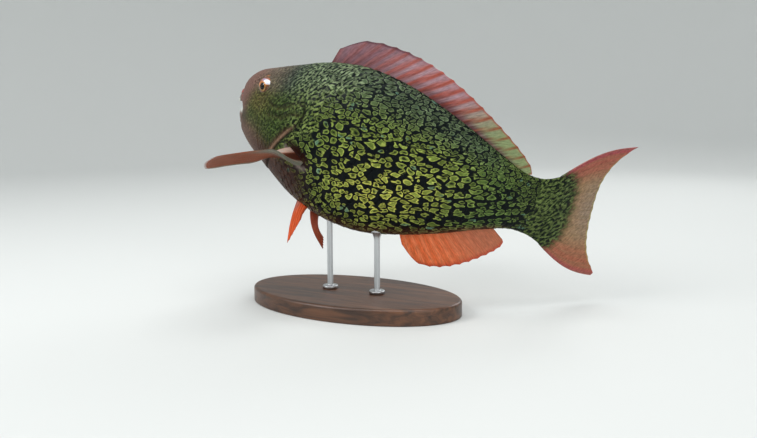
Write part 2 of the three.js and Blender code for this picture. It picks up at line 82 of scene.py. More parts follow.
pose = {
    "noseUp": radians(16), "height": 160, "pivot": 169,
    "trunkTurn": 0.39, "trunkBend": (56, 244),  # radians turned, and between which distances
    "tailTurn": 0.62, "tailBend": (225, 394),
}


def heading(x):  # of the backbone, in radians: one soft turn in the trunk and one towards the tail
    return (pose["trunkTurn"] * smooth(*pose["trunkBend"], x)
            + pose["tailTurn"] * smooth(*pose["tailBend"], x))


spine = np.arange(-60.0, 521.0)
spineTurn = heading(spine) - heading(pose["pivot"])
stepTurn = heading(spine[:-1] + 0.5) - heading(pose["pivot"])
spineX = np.concatenate([[0], np.cumsum(np.cos(stepTurn))])
spineY = np.concatenate([[0], np.cumsum(np.sin(stepTurn))])
spineX -= np.interp(pose["pivot"], spine, spineX)
spineY -= np.interp(pose["pivot"], spine, spineY)


# Straight fish to stand: x picks a place and heading on the backbone, y is measured square to it, then the
# whole turns nose-up about Y and rises
def placeFish(p):
    x, y, z = p[..., 0], p[..., 1], p[..., 2]
    turn = np.interp(x, spine, spineTurn)
    bx = np.interp(x, spine, spineX) - np.sin(turn) * y
    by = np.interp(x, spine, spineY) + np.cos(turn) * y
    c, s = np.cos(pose["noseUp"]), np.sin(pose["noseUp"])
    return np.stack([c * bx + s * z, by, -s * bx + c * z + pose["height"]], -1) * mm


# The body's rings

# x behind the snout, heights of back, widest level and belly, half width, wedge of back and belly, sweep
rings = np.array([
    [16, 2, -2, -6, 3.4, 1, 1, 2],  # floor of the mouth
    [10, 6.5, -2, -10, 6.2, 1, 1, 7],
    [4, 9.5, -2, -12.5, 7.6, 1, 1, 10],
    [2.2, 13, -1, -15, 8.8, 1, 1, 11],  # crest of the lips
    [3.2, 17.5, 0, -18.5, 10.6, 1, 1, 11.5],
    [6.2, 20.5, 1, -21, 11.4, 1, 1, 10.5],  # crease behind the lips
    [9.5, 29, 3, -26, 13.2, 1, 1, 8],
    [17.5, 38, 5, -31.5, 16.6, 1, 1, 5],
    [30, 46.5, 7, -38.5, 20.8, 1.05, 1, 2],
    [46, 52.5, 8, -45, 24.6, 1.05, 1, 1],
    [66, 59.5, 8, -51.5, 27.4, 1.08, 1, 0],  # behind the eye
    [88, 67, 6, -60, 30, 1.1, 1, 0],
    [110, 74.5, 4, -68, 31.8, 1.12, 0.98, 0],
    [135, 80.5, 2, -74.5, 32.2, 1.15, 0.96, 0],
    [165, 83.5, 0, -78.5, 31, 1.18, 0.95, 0],  # deepest part
    [200, 80.5, -1, -77, 28, 1.2, 0.97, 0],
    [236, 71.5, -1, -67.5, 23.2, 1.2, 1, 0],
    [275, 57, -1, -53.5, 17.4, 1.15, 1.05, 0],
    [310, 41, -1, -39.5, 12.2, 1.08, 1.05, 0],
    [338, 28.5, -2, -31.5, 8.4, 1, 1, 0],
    [358, 25.5, -3, -33, 5.8, 1, 1, 0],  # narrowest part of the stalk
    [374, 29.5, -3, -39, 3.6, 1, 1, 0],
    [386, 36.5, -3, -47, 2.1, 1, 1, 0],  # end of the scaly root
])
outerRings = rings[6:]  # from the snout back
rootEnd = rings[-1, 0]  # where the scaly root of the tail ends
jaw = {"back": 6.5, "heights": (14, -10), "fade": (30, 110)}  # how far and where the lower jaw recedes


# Point of a ring: its half width times sin(angle)^wedge across, the rise to back or belly times cos(angle)
def ringPoint(ring, angle):
    x, top, mid, bottom, half, back, belly, sweep = np.moveaxis(ring, -1, 0)
    up, out = np.cos(angle), np.sin(angle)
    across = np.sign(out) * np.abs(out) ** np.where(up > 0, back, belly)
    rise = np.where(up > 0, top - mid, mid - bottom)
    x, z = x + sweep * across**2, mid + rise * up
    receding = jaw["back"] * smooth(*jaw["heights"], z) * (1 - smooth(*jaw["fade"], x))
    return np.stack([x + receding, half * across, z], -1)


def bodyAt(column, x):  # a column of the rings at x, by the curve through them
    return through(outerRings[:, 0], outerRings[:, column], x)


def leftSide(x, z):  # y of the left side at x and z
    mid = bodyAt(2, x)
    rise = np.where(z > mid, bodyAt(1, x) - mid, mid - bodyAt(3, x))
    up = np.minimum(np.abs(z - mid) / rise, 1)
    wedge = np.where(z > mid, bodyAt(5, x), bodyAt(6, x))
    return -bodyAt(4, x) * np.sqrt(1 - up**2) ** wedge


# Meshes


# A mesh object from points in metres and arrays of faces, with an unwrap and layers of colours (4 wide) or
# vectors (3 wide) at its points
def newMesh(name, points, faces, uv=None, layers=None):
    mesh = bpy.data.meshes.new(name)
    points = np.asarray(points, float).reshape(-1, 3)
    if meshVolume(points, faces) < 0:  # turn the faces outwards
        faces = [f[:, ::-1] for f in faces]
        uv = None if uv is None else [u[:, ::-1] for u in uv]
    sizes = np.concatenate([np.full(len(f), f.shape[1]) for f in faces])
    mesh.vertices.add(len(points))
    mesh.vertices.foreach_set("co", points.ravel())
    mesh.loops.add(int(sizes.sum()))
    mesh.loops.foreach_set("vertex_index", np.concatenate([f.ravel() for f in faces]).astype(np.int32))
    mesh.polygons.add(len(sizes))
    mesh.polygons.foreach_set("loop_start", np.concatenate([[0], np.cumsum(sizes)[:-1]]).astype(np.int32))
    mesh.polygons.foreach_set("use_smooth", np.ones(len(sizes), bool))
    if uv is not None:
        flat = np.concatenate([u.reshape(-1, 2) for u in uv]).ravel()
        mesh.uv_layers.new(name="OFBake").data.foreach_set("uv", flat.astype(np.float32))
    for key, value in (layers or {}).items():
        kind, field = ("FLOAT_VECTOR", "vector") if value.shape[1] == 3 else ("FLOAT_COLOR", "color")
        mesh.attributes.new(key, kind, "POINT").data.foreach_set(field, value.astype(np.float32).ravel())
    mesh.update(calc_edges=True)
    mesh.validate()
    piece = bpy.data.objects.new(name, mesh)
    bpy.context.scene.collection.objects.link(piece)
    return piece


# Six times the volume: the sum over the faces' triangles of a . (b x c)
def meshVolume(points, faces):
    total = 0.0
    for f in faces:
        for k in range(1, f.shape[1] - 1):
            a, b, c = points[f[:, 0]], points[f[:, k]], points[f[:, k + 1]]
            total += np.einsum("ij,ij->i", a, np.cross(b, c)).sum()
    return total


# Quads between the rows of a grid; a wrapped grid joins its last column to its first. The second result
# holds each corner's row and column, for unwraps.
def gridQuads(rows, cols, wrap=False):
    r, c = np.meshgrid(np.arange(rows - 1), np.arange(cols if wrap else cols - 1), indexing="ij")
    corners = np.stack([np.stack([r + a, c + b], -1) for a, b in ((0, 0), (0, 1), (1, 1), (1, 0))], -2)
    corners = corners.reshape(-1, 4, 2)
    return corners[..., 0] * cols + corners[..., 1] % cols, corners.astype(float)


def fanTriangles(centre, loop, turned=False):  # from a middle point to each pair of neighbours of a loop
    after = np.roll(loop, -1)
    pair = (after, loop) if turned else (loop, after)
    return np.stack([np.full(len(loop), centre), *pair], -1)


def gridNormals(p, wrap=True):  # cross product of the grid's two directions, of length 1
    if wrap:
        padded = np.concatenate([p[:, -1:], p, p[:, :1]], 1)
        across = padded[:, 2:] - padded[:, :-2]
    else:
        across = np.gradient(p, axis=1)
    normal = np.cross(np.gradient(p, axis=0), across)
    return normal / np.maximum(np.linalg.norm(normal, axis=-1, keepdims=True), 1e-9)


# Distance of points (x, z) from a line through the given side-view points, positive in front of it, and how
# far along the line the nearest place is
def lineDistance(line, x, z, count=70):
    knots = np.arange(len(line))
    path = through(knots, line, np.linspace(0, len(line) - 1, count))
    a, d = path[:-1], np.diff(path, axis=0)
    best = np.full(x.shape, 1e9)
    sign = np.ones(x.shape)
    along = np.zeros(x.shape)
    for i in range(len(a)):
        px, pz = x - a[i, 0], z - a[i, 1]
        t = np.clip((px * d[i, 0] + pz * d[i, 1]) / (d[i] @ d[i]), 0, 1)
        away = np.hypot(px - t * d[i, 0], pz - t * d[i, 1])
        near = away < best
        best = np.where(near, away, best)
        sign = np.where(near, np.sign(d[i, 0] * pz - d[i, 1] * px), sign)
        along = np.where(near, (i + t) / len(a), along)
    return best * -sign, along


# Colours


def linear(hexValue):  # sRGB hex to linear red, green, blue
    c = np.array([int(hexValue[i:i + 2], 16) for i in (1, 3, 5)]) / 255
    return np.where(c <= 0.04045, c / 12.92, ((c + 0.055) / 1.055) ** 2.4)


def palette(**tones):  # named hex values to named linear colours
    return {key: linear(value) for key, value in tones.items()}


def lerpColour(a, b, t):  # a where t = 0, b where t = 1
    return a + (b - a) * np.asarray(t)[..., None]


# A colour, or the tone of that name, with other tones laid over it in turn, each by its amount
def layered(tones, colour, *layers):
    if isinstance(colour, str):
        colour = tones[colour]
    for key, amount in layers:
        colour = lerpColour(colour, tones[key], amount)
    return colour


coatRegions = {  # ground and marks
    "flank": ("#070c10", "#7e8c42"), "bright": ("#080d0d", "#bcb856"), "back": ("#0d1614", "#5f6b50"),
    "shoulder": ("#0a120e", "#546236"), "rear": ("#07100e", "#5a743f"), "stalk": ("#0a120f", "#5c6a38"),
    "tailRoot": ("#0e170e", "#4f5c32"), "nape": ("#1f2621", "#474f43"), "brow": ("#4f453d", "#665a4c"),
    "snout": ("#6c5048", "#765c50"), "cheek": ("#1d2810", "#485a2c"), "underEye": ("#403820", "#625c34"),
    "cheekLow": ("#262e12", "#444822"), "chin": ("#5c463c", "#6a5648"), "throat": ("#35201a", "#54382a"),
    "belly": ("#3c2418", "#84704c"),
}
groundTones = palette(**{key: pair[0] for key, pair in coatRegions.items()})
markTones = palette(**{key: pair[1] for key, pair in coatRegions.items()})
# Tones of details on the coat. The near-black streak tone also lays painted shadow in the groove under the
# gill cover's edge, and axil is painted shade in the hollow behind the pectoral fin.
coatDetails = palette(mouth="#4a2422", lip="#7e5650", lipSpot="#b0453c", gillEdge="#a5806a",
                      gillDark="#2c1210", streak="#14120c", streakPale="#625c34", axil="#2e130c",
                      axilPale="#a8968e", lid="#c0702e")

eye = {  # mm: place, radius of the ball and of what shows of it, how far it stands out, rim and socket
    "x": 57.6, "z": 34.8, "ball": 9.8, "seen": 8.1, "out": 0.8, "rim": 1.0, "socket": 3.4,
}
gill = {
    "edge": np.array([[100, 46], [114, 38], [122, 26], [119, 11], [108, -3], [97, -17], [88, -30],
                      [79, -44], [68, -58]], float),
    "cheek": np.array([[84, 41], [73, 26], [67, 8], [65, -12], [68, -29], [74, -41]], float),
    "rise": 0.75, "reach": 16, "groove": 0.9,
}
streaks = [np.array(line, float) for line in (
    [[70, 22], [88, 20], [104, 27], [124, 36]],
    [[72, 10], [92, 12], [110, 20], [128, 24]],
)]
pectoralRoot = np.array([[116, -14.5], [134, -25]], float)
axilSpot = (125, -20)  # middle of the hollow that the pectoral fin leaves


def pectoralAway(x, z):  # how far a place lies in front of the pectoral fin's root, and from its hollow
    return lineDistance(pectoralRoot, x, z, 8)[0], np.hypot(x - axilSpot[0], z - axilSpot[1])


# The coat at straight places p: the dark ground's colour, how closely its islands lie and how far they give
# way to fine worms; then the marks' colour and strength. Regions blend one over another by distance behind
# the snout and by height, 1 on the back and -1 on the belly. Inside holds the shares of mouth and lips.
def coatPaint(p, inside=None):
    x, y, z = p[..., 0], p[..., 1], p[..., 2]
    mid = bodyAt(2, x)
    height = np.where(z > mid, (z - mid) / (bodyAt(1, x) - mid), (z - mid) / (mid - bodyAt(3, x)))
    back = smooth(0.3, 0.85, height)
    head = smooth(122, 92, x + 12 * back + 8 * smooth(-0.2, -0.8, height))
    low = smooth(-0.78, -0.97, height)
    regions = {
        "bright": (bell(x - 212, 46) * bell(height + 0.38, 0.42)
                   + 0.35 * bell(x - 290, 60) * bell(height, 0.5)),
        "shoulder": smooth(168, 120, x) * smooth(-0.5, 0.1, height) * 0.9,
        "back": back * smooth(345, 290, x),
        "rear": smooth(250, 320, x) * (1 - 0.6 * back) * 0.8,
        "stalk": smooth(318, 352, x),
        "tailRoot": smooth(352, 378, x),
        "nape": head * smooth(0.25, 0.7, height) * smooth(60, 92, x),
        "cheek": head * smooth(0.62, 0.3, height),
        "cheekLow": head * smooth(-0.1, -0.5, height),
        "brow": head * smooth(0.3, 0.55, height) * smooth(96, 60, x),
        "underEye": head * bell(x - 56, 20) * bell(height - 0.22, 0.35) * 0.9,
        "throat": smooth(-0.3, -0.62, height) * smooth(156, 118, x) * smooth(20, 50, x),
        "belly": low * smooth(88, 125, x) * smooth(350, 318, x),
        "snout": smooth(52, 26, x - 0.25 * (z - 20)) * smooth(-6, 8, z + 0.1 * x),
        "chin": smooth(90, 42, x - 0.3 * z) * smooth(-0.1, -0.6, height),
    }
    ground, marks = (layered(tones, "flank", *regions.items()) for tones in (groundTones, markTones))
    edge, along = lineDistance(gill["edge"], x, z)
    lowEnd = smooth(0.84, 0.72, along)
    stripe = bell(edge - 1.3, 1.1) * smooth(0.36, 0.5, along) * lowEnd
    maroon = bell(edge - 4.2, 1.8) * smooth(0.4, 0.5, along) * lowEnd * 0.8
    # painted shadow: dark in the groove under the gill cover's free edge, where the relief sinks; the head's
    # dark streaks below are real lines and share this mask
    dark = bell(edge + 1.1, 1.2) * smooth(0.1, 0.25, along) * 0.85
    for line in streaks:
        away, place = lineDistance(line, x, z, 30)
        ends = smooth(0, 0.15, place) * smooth(1, 0.8, place)
        dark = np.maximum(dark, bell(away, 1.1) * ends * 0.9)
        ground = layered(coatDetails, ground, ("streakPale", bell(away - 2.4, 1.0) * ends * 0.6))
    rootAway, spotAway = pectoralAway(x, z)
    nearRoot = bell(spotAway, 15)
    pale = bell(rootAway - 5, 3) * nearRoot
    # painted shade: dark in the hollow behind the pectoral fin's root
    axil = smooth(8.5, 3.5, np.abs(rootAway + 4)) * nearRoot
    details = {"gillDark": maroon, "gillEdge": stripe * 0.85, "axilPale": pale, "axil": axil, "streak": dark}
    ground, marks = (layered(coatDetails, tone, *details.items()) for tone in (ground, marks))
    lid = bell(np.hypot(x - eye["x"] + 1, z - eye["z"] - 1) - 8.9, 1.0)
    lid = lid * smooth(0, -5, x - eye["x"]) * smooth(-5, 1, z - eye["z"])
    ground = layered(coatDetails, ground, ("lid", lid * 0.8))
    plain = np.maximum.reduce([stripe, maroon, dark, axil, pale])
    breast = smooth(-0.35, -0.65, height) * smooth(150, 115, x)
    strength = smooth(22, 48, x) * (1 - 0.3 * low) * (1 - plain) * (1 - 0.35 * head) * (1 - 0.6 * breast)
    full = np.clip(smooth(0.1, 0.6, height) + 0.08 * smooth(160, 130, x), 0, 1)
    wormy = smooth(0.5, 0.8, height) * smooth(190, 150, x) + smooth(150, 128, x) * smooth(-0.3, 0.2, height)
    wormy = np.clip(wormy + smooth(346, 370, x) + head, 0, 1)
    if inside is not None:
        mouth, lips = inside
        ground = layered(coatDetails, ground, ("mouth", mouth), ("lip", lips * smooth(-4, 6, z)),
                         ("lipSpot", lips * bell(z - 15, 4) * bell(np.abs(y) - 4.5, 4) * 0.8))
    return (np.concatenate([ground, full[..., None], wormy[..., None]], -1),
            np.concatenate([marks, strength[..., None]], -1))


# Marks: their length and height in mm at distances behind the snout, and how steeply they rise to the rear
patterns = {
    "islandPlace": {"at": [0, 130, 200, 280, 340, 400], "length": [7.2, 7.8, 9.4, 9.8, 7.8, 6],
                    "tall": [6.2, 6.6, 6.0, 5.2, 4.2, 4.0], "slope": [10, 20, 4, 6, 15, 20]},
    "wormPlace": {"at": [0, 110, 160, 230, 320, 350, 400], "length": [5.5, 7, 8, 8, 8, 8.5, 9],
                  "tall": [3.0, 3.8, 4.2, 4.2, 4.2, 4.2, 4.0], "slope": [44, 50, 55, 30, 30, 40, 48]},
}


# Place of a point in a pattern that runs along the body at a slope: turns of the pattern along it and across
# it. The height of p is the way round the body from the widest line of its side, so nothing is drawn out on
# the back or belly.
def patternPlace(p, at, length, tall, slope):
    xs = np.arange(-20.0, 480.0)
    angle = np.radians(np.interp(xs, at, slope))
    wide, high = np.interp(xs, at, length), np.interp(xs, at, tall)
    across = np.cos(angle) / high
    drift = np.cumsum(np.sin(angle) / high + np.gradient(across) * 20)
    x, g = p[..., 0], p[..., 2]
    u = np.interp(x, xs, np.cumsum(np.cos(angle) / wide)) + g * np.interp(x, xs, np.sin(angle) / wide)
    v = g * np.interp(x, xs, across) - np.interp(x, xs, drift)
    return np.stack([u, v, 0 * u], -1)


# The layers that a coat's mesh carries, from the results of coatPaint at straight places p
def coatLayers(ground, marks, p):
    kind = np.concatenate([ground[:, 4:], np.zeros((len(ground), 2))], 1)
    places = {name: patternPlace(p, **sizes) for name, sizes in patterns.items()}
    return {"ground": ground[:, :4], "marks": marks, **places, "markKind": kind}


# Materials


# Adds a node: values go to its inputs, by number from a list or by name from a dictionary, and the other
# words are its settings. A socket is linked, anything else is set. Gives the output that out names, or the
# node itself.
def put(tree, kind, values=(), out=0, **settings):
    made = tree.nodes.new("ShaderNode" + kind)
    for key, value in settings.items():
        setattr(made, key, value)
    for key, value in values.items() if isinstance(values, dict) else enumerate(values):
        if isinstance(value, bpy.types.NodeSocket):
            tree.links.new(value, made.inputs[key])
        else:
            made.inputs[key].default_value = value
    return made if out is None else made.outputs[out]


# A material from a look: a function that adds nodes and gives the inputs of the shader
def newMaterial(name, look, *sizes):
    made = bpy.data.materials.new(name)
    made.use_nodes = True
    made.node_tree.nodes.clear()
    add = partial(put, made.node_tree)
    add("OutputMaterial", [add("BsdfPrincipled", look(add, *sizes))], None)
    return made


def rgba(colour):  # with an alpha of 1
    return (*[float(c) for c in colour], 1.0)


softly = {"interpolation_type": "SMOOTHSTEP"}
evenWaves = {"Frequency": 2.0, "Anisotropy": 0.0}  # waves of one size that run every way
holeColour = (0.7, 1.0, 0.8, 1)  # the middles of marks are greener
turquoise = rgba(linear("#5f8a7c"))


def bent(add, place, amount):  # a place pushed about by noise
    push = add("TexNoise", {"Vector": place, "Scale": 0.9, "Detail": 0.0}, "Color", noise_dimensions="2D")
    centred = add("VectorMath", [push, (0.5, 0.5, 0.5)], operation="SUBTRACT")
    return add("VectorMath", [centred, (amount, amount, amount), place], operation="MULTIPLY_ADD")


# Islands: a point lies inside a mark where it is nearer than a limit to a cell's middle and clearly farther
# from the next one's; a soft minimum of the two rounds the corners and waves bend the outline. Some have a
# dark hole, and where full is 1 they almost touch. Gives the amount of mark, its three chances and its depth.
def islands(add, place, full):
    moved = bent(add, place, 0.6)
    cells = {"Vector": moved, "Scale": 1.0, "Randomness": 0.82}
    near, far = (add("TexVoronoi", cells, None, feature=nth, voronoi_dimensions="2D").outputs
                 for nth in ("F1", "F2"))
    chance = add("SeparateColor", [near["Color"]], None).outputs
    size = add("Math", [chance[1], 0.18, 0.36], operation="MULTIPLY_ADD")
    limit = add("Math", [full, 0.1, size], operation="MULTIPLY_ADD")
    inward = add("Math", [limit, near["Distance"]], operation="SUBTRACT")
    between = add("Math", [far["Distance"], near["Distance"]], operation="SUBTRACT")
    gap = add("Math", [full, -0.02, -0.115], operation="MULTIPLY_ADD")
    apart = add("Math", [between, 0.8, gap], operation="MULTIPLY_ADD")
    waves = add("TexGabor", {"Vector": moved, "Scale": 0.8, **evenWaves}, "Value", gabor_type="2D")
    swing = add("Math", [waves, 0.6, -0.3], operation="MULTIPLY_ADD")
    rounded = add("Math", [inward, apart, 0.17], operation="SMOOTH_MIN")
    depth = add("Math", [rounded, swing], operation="ADD")
    centre = add("Math", [swing, -0.5, near["Distance"]], operation="MULTIPLY_ADD")
    holed = add("MapRange", [chance[0], 0.4, 0.45, 0.0, 0.9], **softly)
    hole = add("Math", [add("MapRange", [centre, 0.2, 0.1], **softly), holed], operation="MULTIPLY")
    solid = add("Math", [1.0, hole], operation="SUBTRACT")
    amount = add("Math", [add("MapRange", [depth, -0.01, 0.09], **softly), solid], operation="MULTIPLY")
    return amount, chance, add("MapRange", [depth, 0.05, 0.2], **softly)


# Fine worms: crests of two sizes of waves, wider than the dark lines between them
def worms(add, place):
    moved = bent(add, place, 0.5)
    broad, close = (add("TexGabor", {"Vector": moved, "Scale": scale, **evenWaves}, "Value", gabor_type="2D")
                    for scale in (0.55, 1.05))
    return add("MapRange", [add("Mix", {0: 0.35, 2: broad, 3: close}), 0.42, 0.55], **softly)


# Colour of the coat from its layers, shared by the skin, the scales and the tail's root. Each mark is a
# little lighter or darker and has a paler rim, and here and there a few are turquoise.
def coatColour(add):
    ground, marks = (add("Attribute", out=None, attribute_name=name).outputs for name in ("ground", "marks"))
    islandAt, wormAt, kinds = (add("Attribute", out="Vector", attribute_name=name)
                               for name in ("islandPlace", "wormPlace", "markKind"))
    wormy, full = add("SeparateXYZ", [kinds]), ground["Alpha"]
    closer = add("VectorMath", {0: islandAt, "Scale": 1.35}, operation="SCALE")
    broad, chance, inner = islands(add, islandAt, full)
    small, smallChance, smallInner = islands(add, closer, full)
    patches = add("TexNoise", {"Vector": islandAt, "Scale": 0.45, "Detail": 1.0})
    swing = add("MapRange", [patches, 0.3, 0.7, -0.25, 0.25])
    kind, fine = (add("MapRange", [add("Math", [share, swing], operation="ADD"), low, 0.6], **softly)
                  for share, low in ((wormy, 0.4), (full, 0.45)))
    both, depth, own = (add("Mix", {0: fine, 2: one, 3: other}) for one, other in (
        (broad, small), (inner, smallInner), (chance[1], smallChance[1])))
    amount = add("Mix", {0: kind, 2: both, 3: worms(add, wormAt)})
    shown = add("Math", [amount, marks["Alpha"]], operation="MULTIPLY")
    bright = add("MapRange", [own, 0, 1, 0.65, 1.3])
    tint = add("Math", [bright, add("MapRange", [depth, 0, 1, 1.4, 0.55])], operation="MULTIPLY")
    half = add("Math", [depth, 0.5], operation="MULTIPLY")
    middle = add("Mix", {0: half, 6: (1, 1, 1, 1), 7: holeColour}, 2, data_type="RGBA")
    toned = add("VectorMath", [marks["Color"], middle], operation="MULTIPLY")
    lit = add("VectorMath", {0: toned, "Scale": tint}, operation="SCALE")
    there = add("MapRange", [patches, 0.6, 0.68], **softly)
    chosen = add("MapRange", [chance[2], 0.6, 0.65, 0.0, 0.6], **softly)
    seldom = add("Math", [there, chosen], operation="MULTIPLY")
    rare = add("Math", [seldom, add("MapRange", [wormy, 0.5, 0.2], **softly)], operation="MULTIPLY")
    coloured = add("Mix", {0: rare, 6: lit, 7: turquoise}, 2, data_type="RGBA")
    painted = add("Mix", {0: shown, 6: ground["Color"], 7: coloured}, 2, data_type="RGBA")
    fleck = add("TexNoise", {"Vector": wormAt, "Scale": 2.2, "Detail": 3.0, "Roughness": 0.65})
    shade = add("MapRange", [fleck, 0.3, 0.7, 0.62, 1.36])
    return add("VectorMath", {0: painted, "Scale": shade}, operation="SCALE")


# Wet fish skin: pigment under a thin coat of slime, so a soft gloss lies over a matt colour. Grain in mm.
def wetSkin(add, roughness, grain):
    here = add("TexCoord", out="Object")
    noise = add("TexNoise", {"Vector": here, "Scale": 1 / (grain * mm), "Detail": 3.0, "Roughness": 0.6})
    return {
        "Base Color": coatColour(add),
        "Roughness": add("MapRange", [noise, 0, 1, roughness - 0.08, roughness + 0.1]),
        "Normal": add("Bump", {"Strength": 0.25, "Distance": 0.25 * mm, "Height": noise}),
        "IOR": 1.36, "Specular IOR Level": 0.14,
        "Coat Weight": 0.04, "Coat Roughness": 0.25, "Coat IOR": 1.34,
    }


# Where an eye sits: on the side's surface, facing square to it
def eyePlace(side):
    x, z = eye["x"], eye["z"]
    slopeX = (leftSide(x + 4, z) - leftSide(x - 4, z)) / 8
    slopeZ = (leftSide(x, z + 4) - leftSide(x, z - 4)) / 8
    out = np.array([slopeX, -1, slopeZ])
    out /= np.linalg.norm(out)
    front = np.array([x, leftSide(x, z), z]) + out * eye["out"]
    centre = front - out * np.sqrt(eye["ball"] ** 2 - eye["seen"] ** 2)
    flip = np.array([1, -side, 1])
    return front * flip, centre * flip, out * flip


# Skin

skinGrid = {  # rows from each ring to the next, and columns
    "steps": [6, 5, 5, 6, 6, 8, 14, 20, 26, 30, 26, 22, 24, 14, 16, 16, 18, 16, 14, 12, 10, 8],
    "around": 256, "border": 0.03,
    "inset": 0.6,  # mm that the skin lies under the solids' surface, which the scales fill
}
nostrils = [(37, 33, 1.0), (42.5, 36, 1.4)]  # x, z and radius

rowRing = np.concatenate([k + np.arange(n) / n for k, n in enumerate(skinGrid["steps"])] + [[len(rings) - 1]])
ringAtRow = through(np.arange(len(rings)), rings, rowRing)
quarter = skinGrid["around"] // 4


# Angles that divide a quarter of each ring into equal lengths, and that quarter's length
def evenAngles(first, last):
    fine = np.linspace(first, last, 65)
    p = ringPoint(ringAtRow[:, None, :], fine[None, :])
    steps = np.linalg.norm(np.diff(p, axis=1), axis=-1)
    run = np.concatenate([np.zeros((len(p), 1)), np.cumsum(steps, 1)], 1)
    share = np.linspace(0, 1, quarter + 1)
    return np.array([np.interp(share * r[-1], r, fine) for r in run]), run[:, -1]


lowAngles, lowLength = evenAngles(pi, 1.5 * pi)  # belly up to the left side
highAngles, highLength = evenAngles(1.5 * pi, 2 * pi)  # left side up to the back
leftAngles = np.concatenate([lowAngles, highAngles[:, 1:]], 1)
skinAngles = np.concatenate([leftAngles, 4 * pi - leftAngles[:, -2:0:-1]], 1)
straight = ringPoint(ringAtRow[:, None, :], skinAngles)
straightNormal = gridNormals(straight)  # points outwards


# Way round the body from the widest line of each side, up positive, with columns counted as turn quarters
def girthAt(turn, low, high):
    up = np.where(turn > 2, 3 - turn, turn - 1)
    return up * np.where(up > 0, high, low)


skinGirth = girthAt(np.arange(skinGrid["around"])[None, :] / quarter, lowLength[:, None], highLength[:, None])


# How far the skin stands in or out at straight places p: the gill cover's free edge over a groove, the fold
# of the cheek, a hollow behind the pectoral fin, two nostrils a side, a rim round each eye over its socket
def skinRelief(p):
    x, y, z = p[..., 0], p[..., 1], p[..., 2]
    edge, along = lineDistance(gill["edge"], x, z)
    onCover = smooth(0.0, 0.12, along) * smooth(-0.5, 0.35, edge)
    relief = gill["rise"] * onCover * np.exp(-np.maximum(edge, 0) / gill["reach"]) * smooth(0.02, 0.2, along)
    relief -= gill["groove"] * bell(edge + 1.1, 1.0) * smooth(0.0, 0.15, along)
    fold, foldAlong = lineDistance(gill["cheek"], x, z)
    foldEnds = smooth(0, 0.2, foldAlong) * smooth(1, 0.85, foldAlong)
    relief += (0.3 * bell(fold - 3, 2.2) - 0.45 * bell(fold, 1.3)) * foldEnds
    rootAway, spotAway = pectoralAway(x, z)
    relief -= 1.6 * bell(rootAway + 4, 3.2) * bell(spotAway, 14)
    for nx, nz, radius in nostrils:
        r = np.hypot(x - nx, z - nz)
        relief += np.where(z > 10, 0.45 * bell(r - radius - 0.9, 0.7) - 1.8 * bell(r, radius), 0)
    for side in (-1, 1):
        front, _, out = eyePlace(side)
        rel = p - front
        r = np.linalg.norm(rel - (rel @ out)[..., None] * out, axis=-1) - eye["seen"]
        brow = 1 + 0.45 * smooth(-4, 7, rel[..., 2])
        around = (eye["rim"] * brow * bell(r - 0.9, 1.5) - eye["socket"] * smooth(0.35, -1.4, r)
                  - 0.35 * bell(r - 5, 2.0))
        relief += np.where(y * side > 0, around, 0)
    return relief


outside = smooth(2.6, 3.4, rowRing)[:, None]  # the rows inside the lips keep their shape
inset = skinGrid["inset"] * smooth(2.2, 4.0, rowRing)[:, None]
skinShape = straight + straightNormal * (skinRelief(straight) * outside - inset)[..., None]
skinNormal = gridNormals(skinShape)
skinNormal *= np.sign((skinNormal * straightNormal).sum(-1, keepdims=True))
insideMouth = np.broadcast_to(smooth(3.0, 2.4, rowRing)[:, None], straight.shape[:2])
onLips = np.broadcast_to((smooth(2.5, 3.0, rowRing) * smooth(5.6, 4.6, rowRing))[:, None], straight.shape[:2])
skinGround, skinMarks = coatPaint(straight, (insideMouth, onLips * 0.85))
rowCount, colCount = skinShape.shape[:2]


def skinUV(row, col):  # lengthwise by row, around by column, with a border left free
    border = skinGrid["border"]
    return border + (1 - 2 * border) * np.stack([row / (rowCount - 1), col / colCount], -1)


# The grid of rings, closed by a fan of triangles in the mouth's floor and one in the end of the tail's root
def buildSkin():
    quads, corners = gridQuads(rowCount, colCount, wrap=True)
    ends = np.array([skinShape[0].mean(0), skinShape[-1].mean(0)])
    turn = np.arange(colCount)
    first = rowCount * colCount
    floor = fanTriangles(first, turn, turned=True)
    rear = fanTriangles(first + 1, (rowCount - 1) * colCount + turn)
    uvs = [skinUV(corners[..., 0], corners[..., 1])]
    for row in (0, rowCount - 1):
        loop = skinUV(np.full(colCount, float(row)), turn.astype(float))
        after = skinUV(np.full(colCount, float(row)), turn + 1.0)
        centre = np.broadcast_to(loop.mean(0), loop.shape)
        uvs.append(np.stack([centre, after, loop] if row == 0 else [centre, loop, after], 1))

    def withEnds(a):  # the two middle points take the values of their first neighbours
        return np.concatenate([a.reshape(-1, a.shape[-1]), a[:1, 0], a[-1:, 0]])

    points = np.concatenate([skinShape.reshape(-1, 3), ends])
    flat = np.stack([straight[..., 0], straight[..., 1], skinGirth], -1).reshape(-1, 3)
    layers = coatLayers(withEnds(skinGround), withEnds(skinMarks), np.concatenate([flat, ends * [1, 1, 0]]))
    return newMesh("fish_skin", placeFish(points), [quads, floor, rear], uvs, layers)


skin = buildSkin()
skin.data.materials.append(newMaterial("wetFishSkin", wetSkin, 0.5, 0.5))
print("skin,", len(skin.data.polygons), "faces")

# Scales

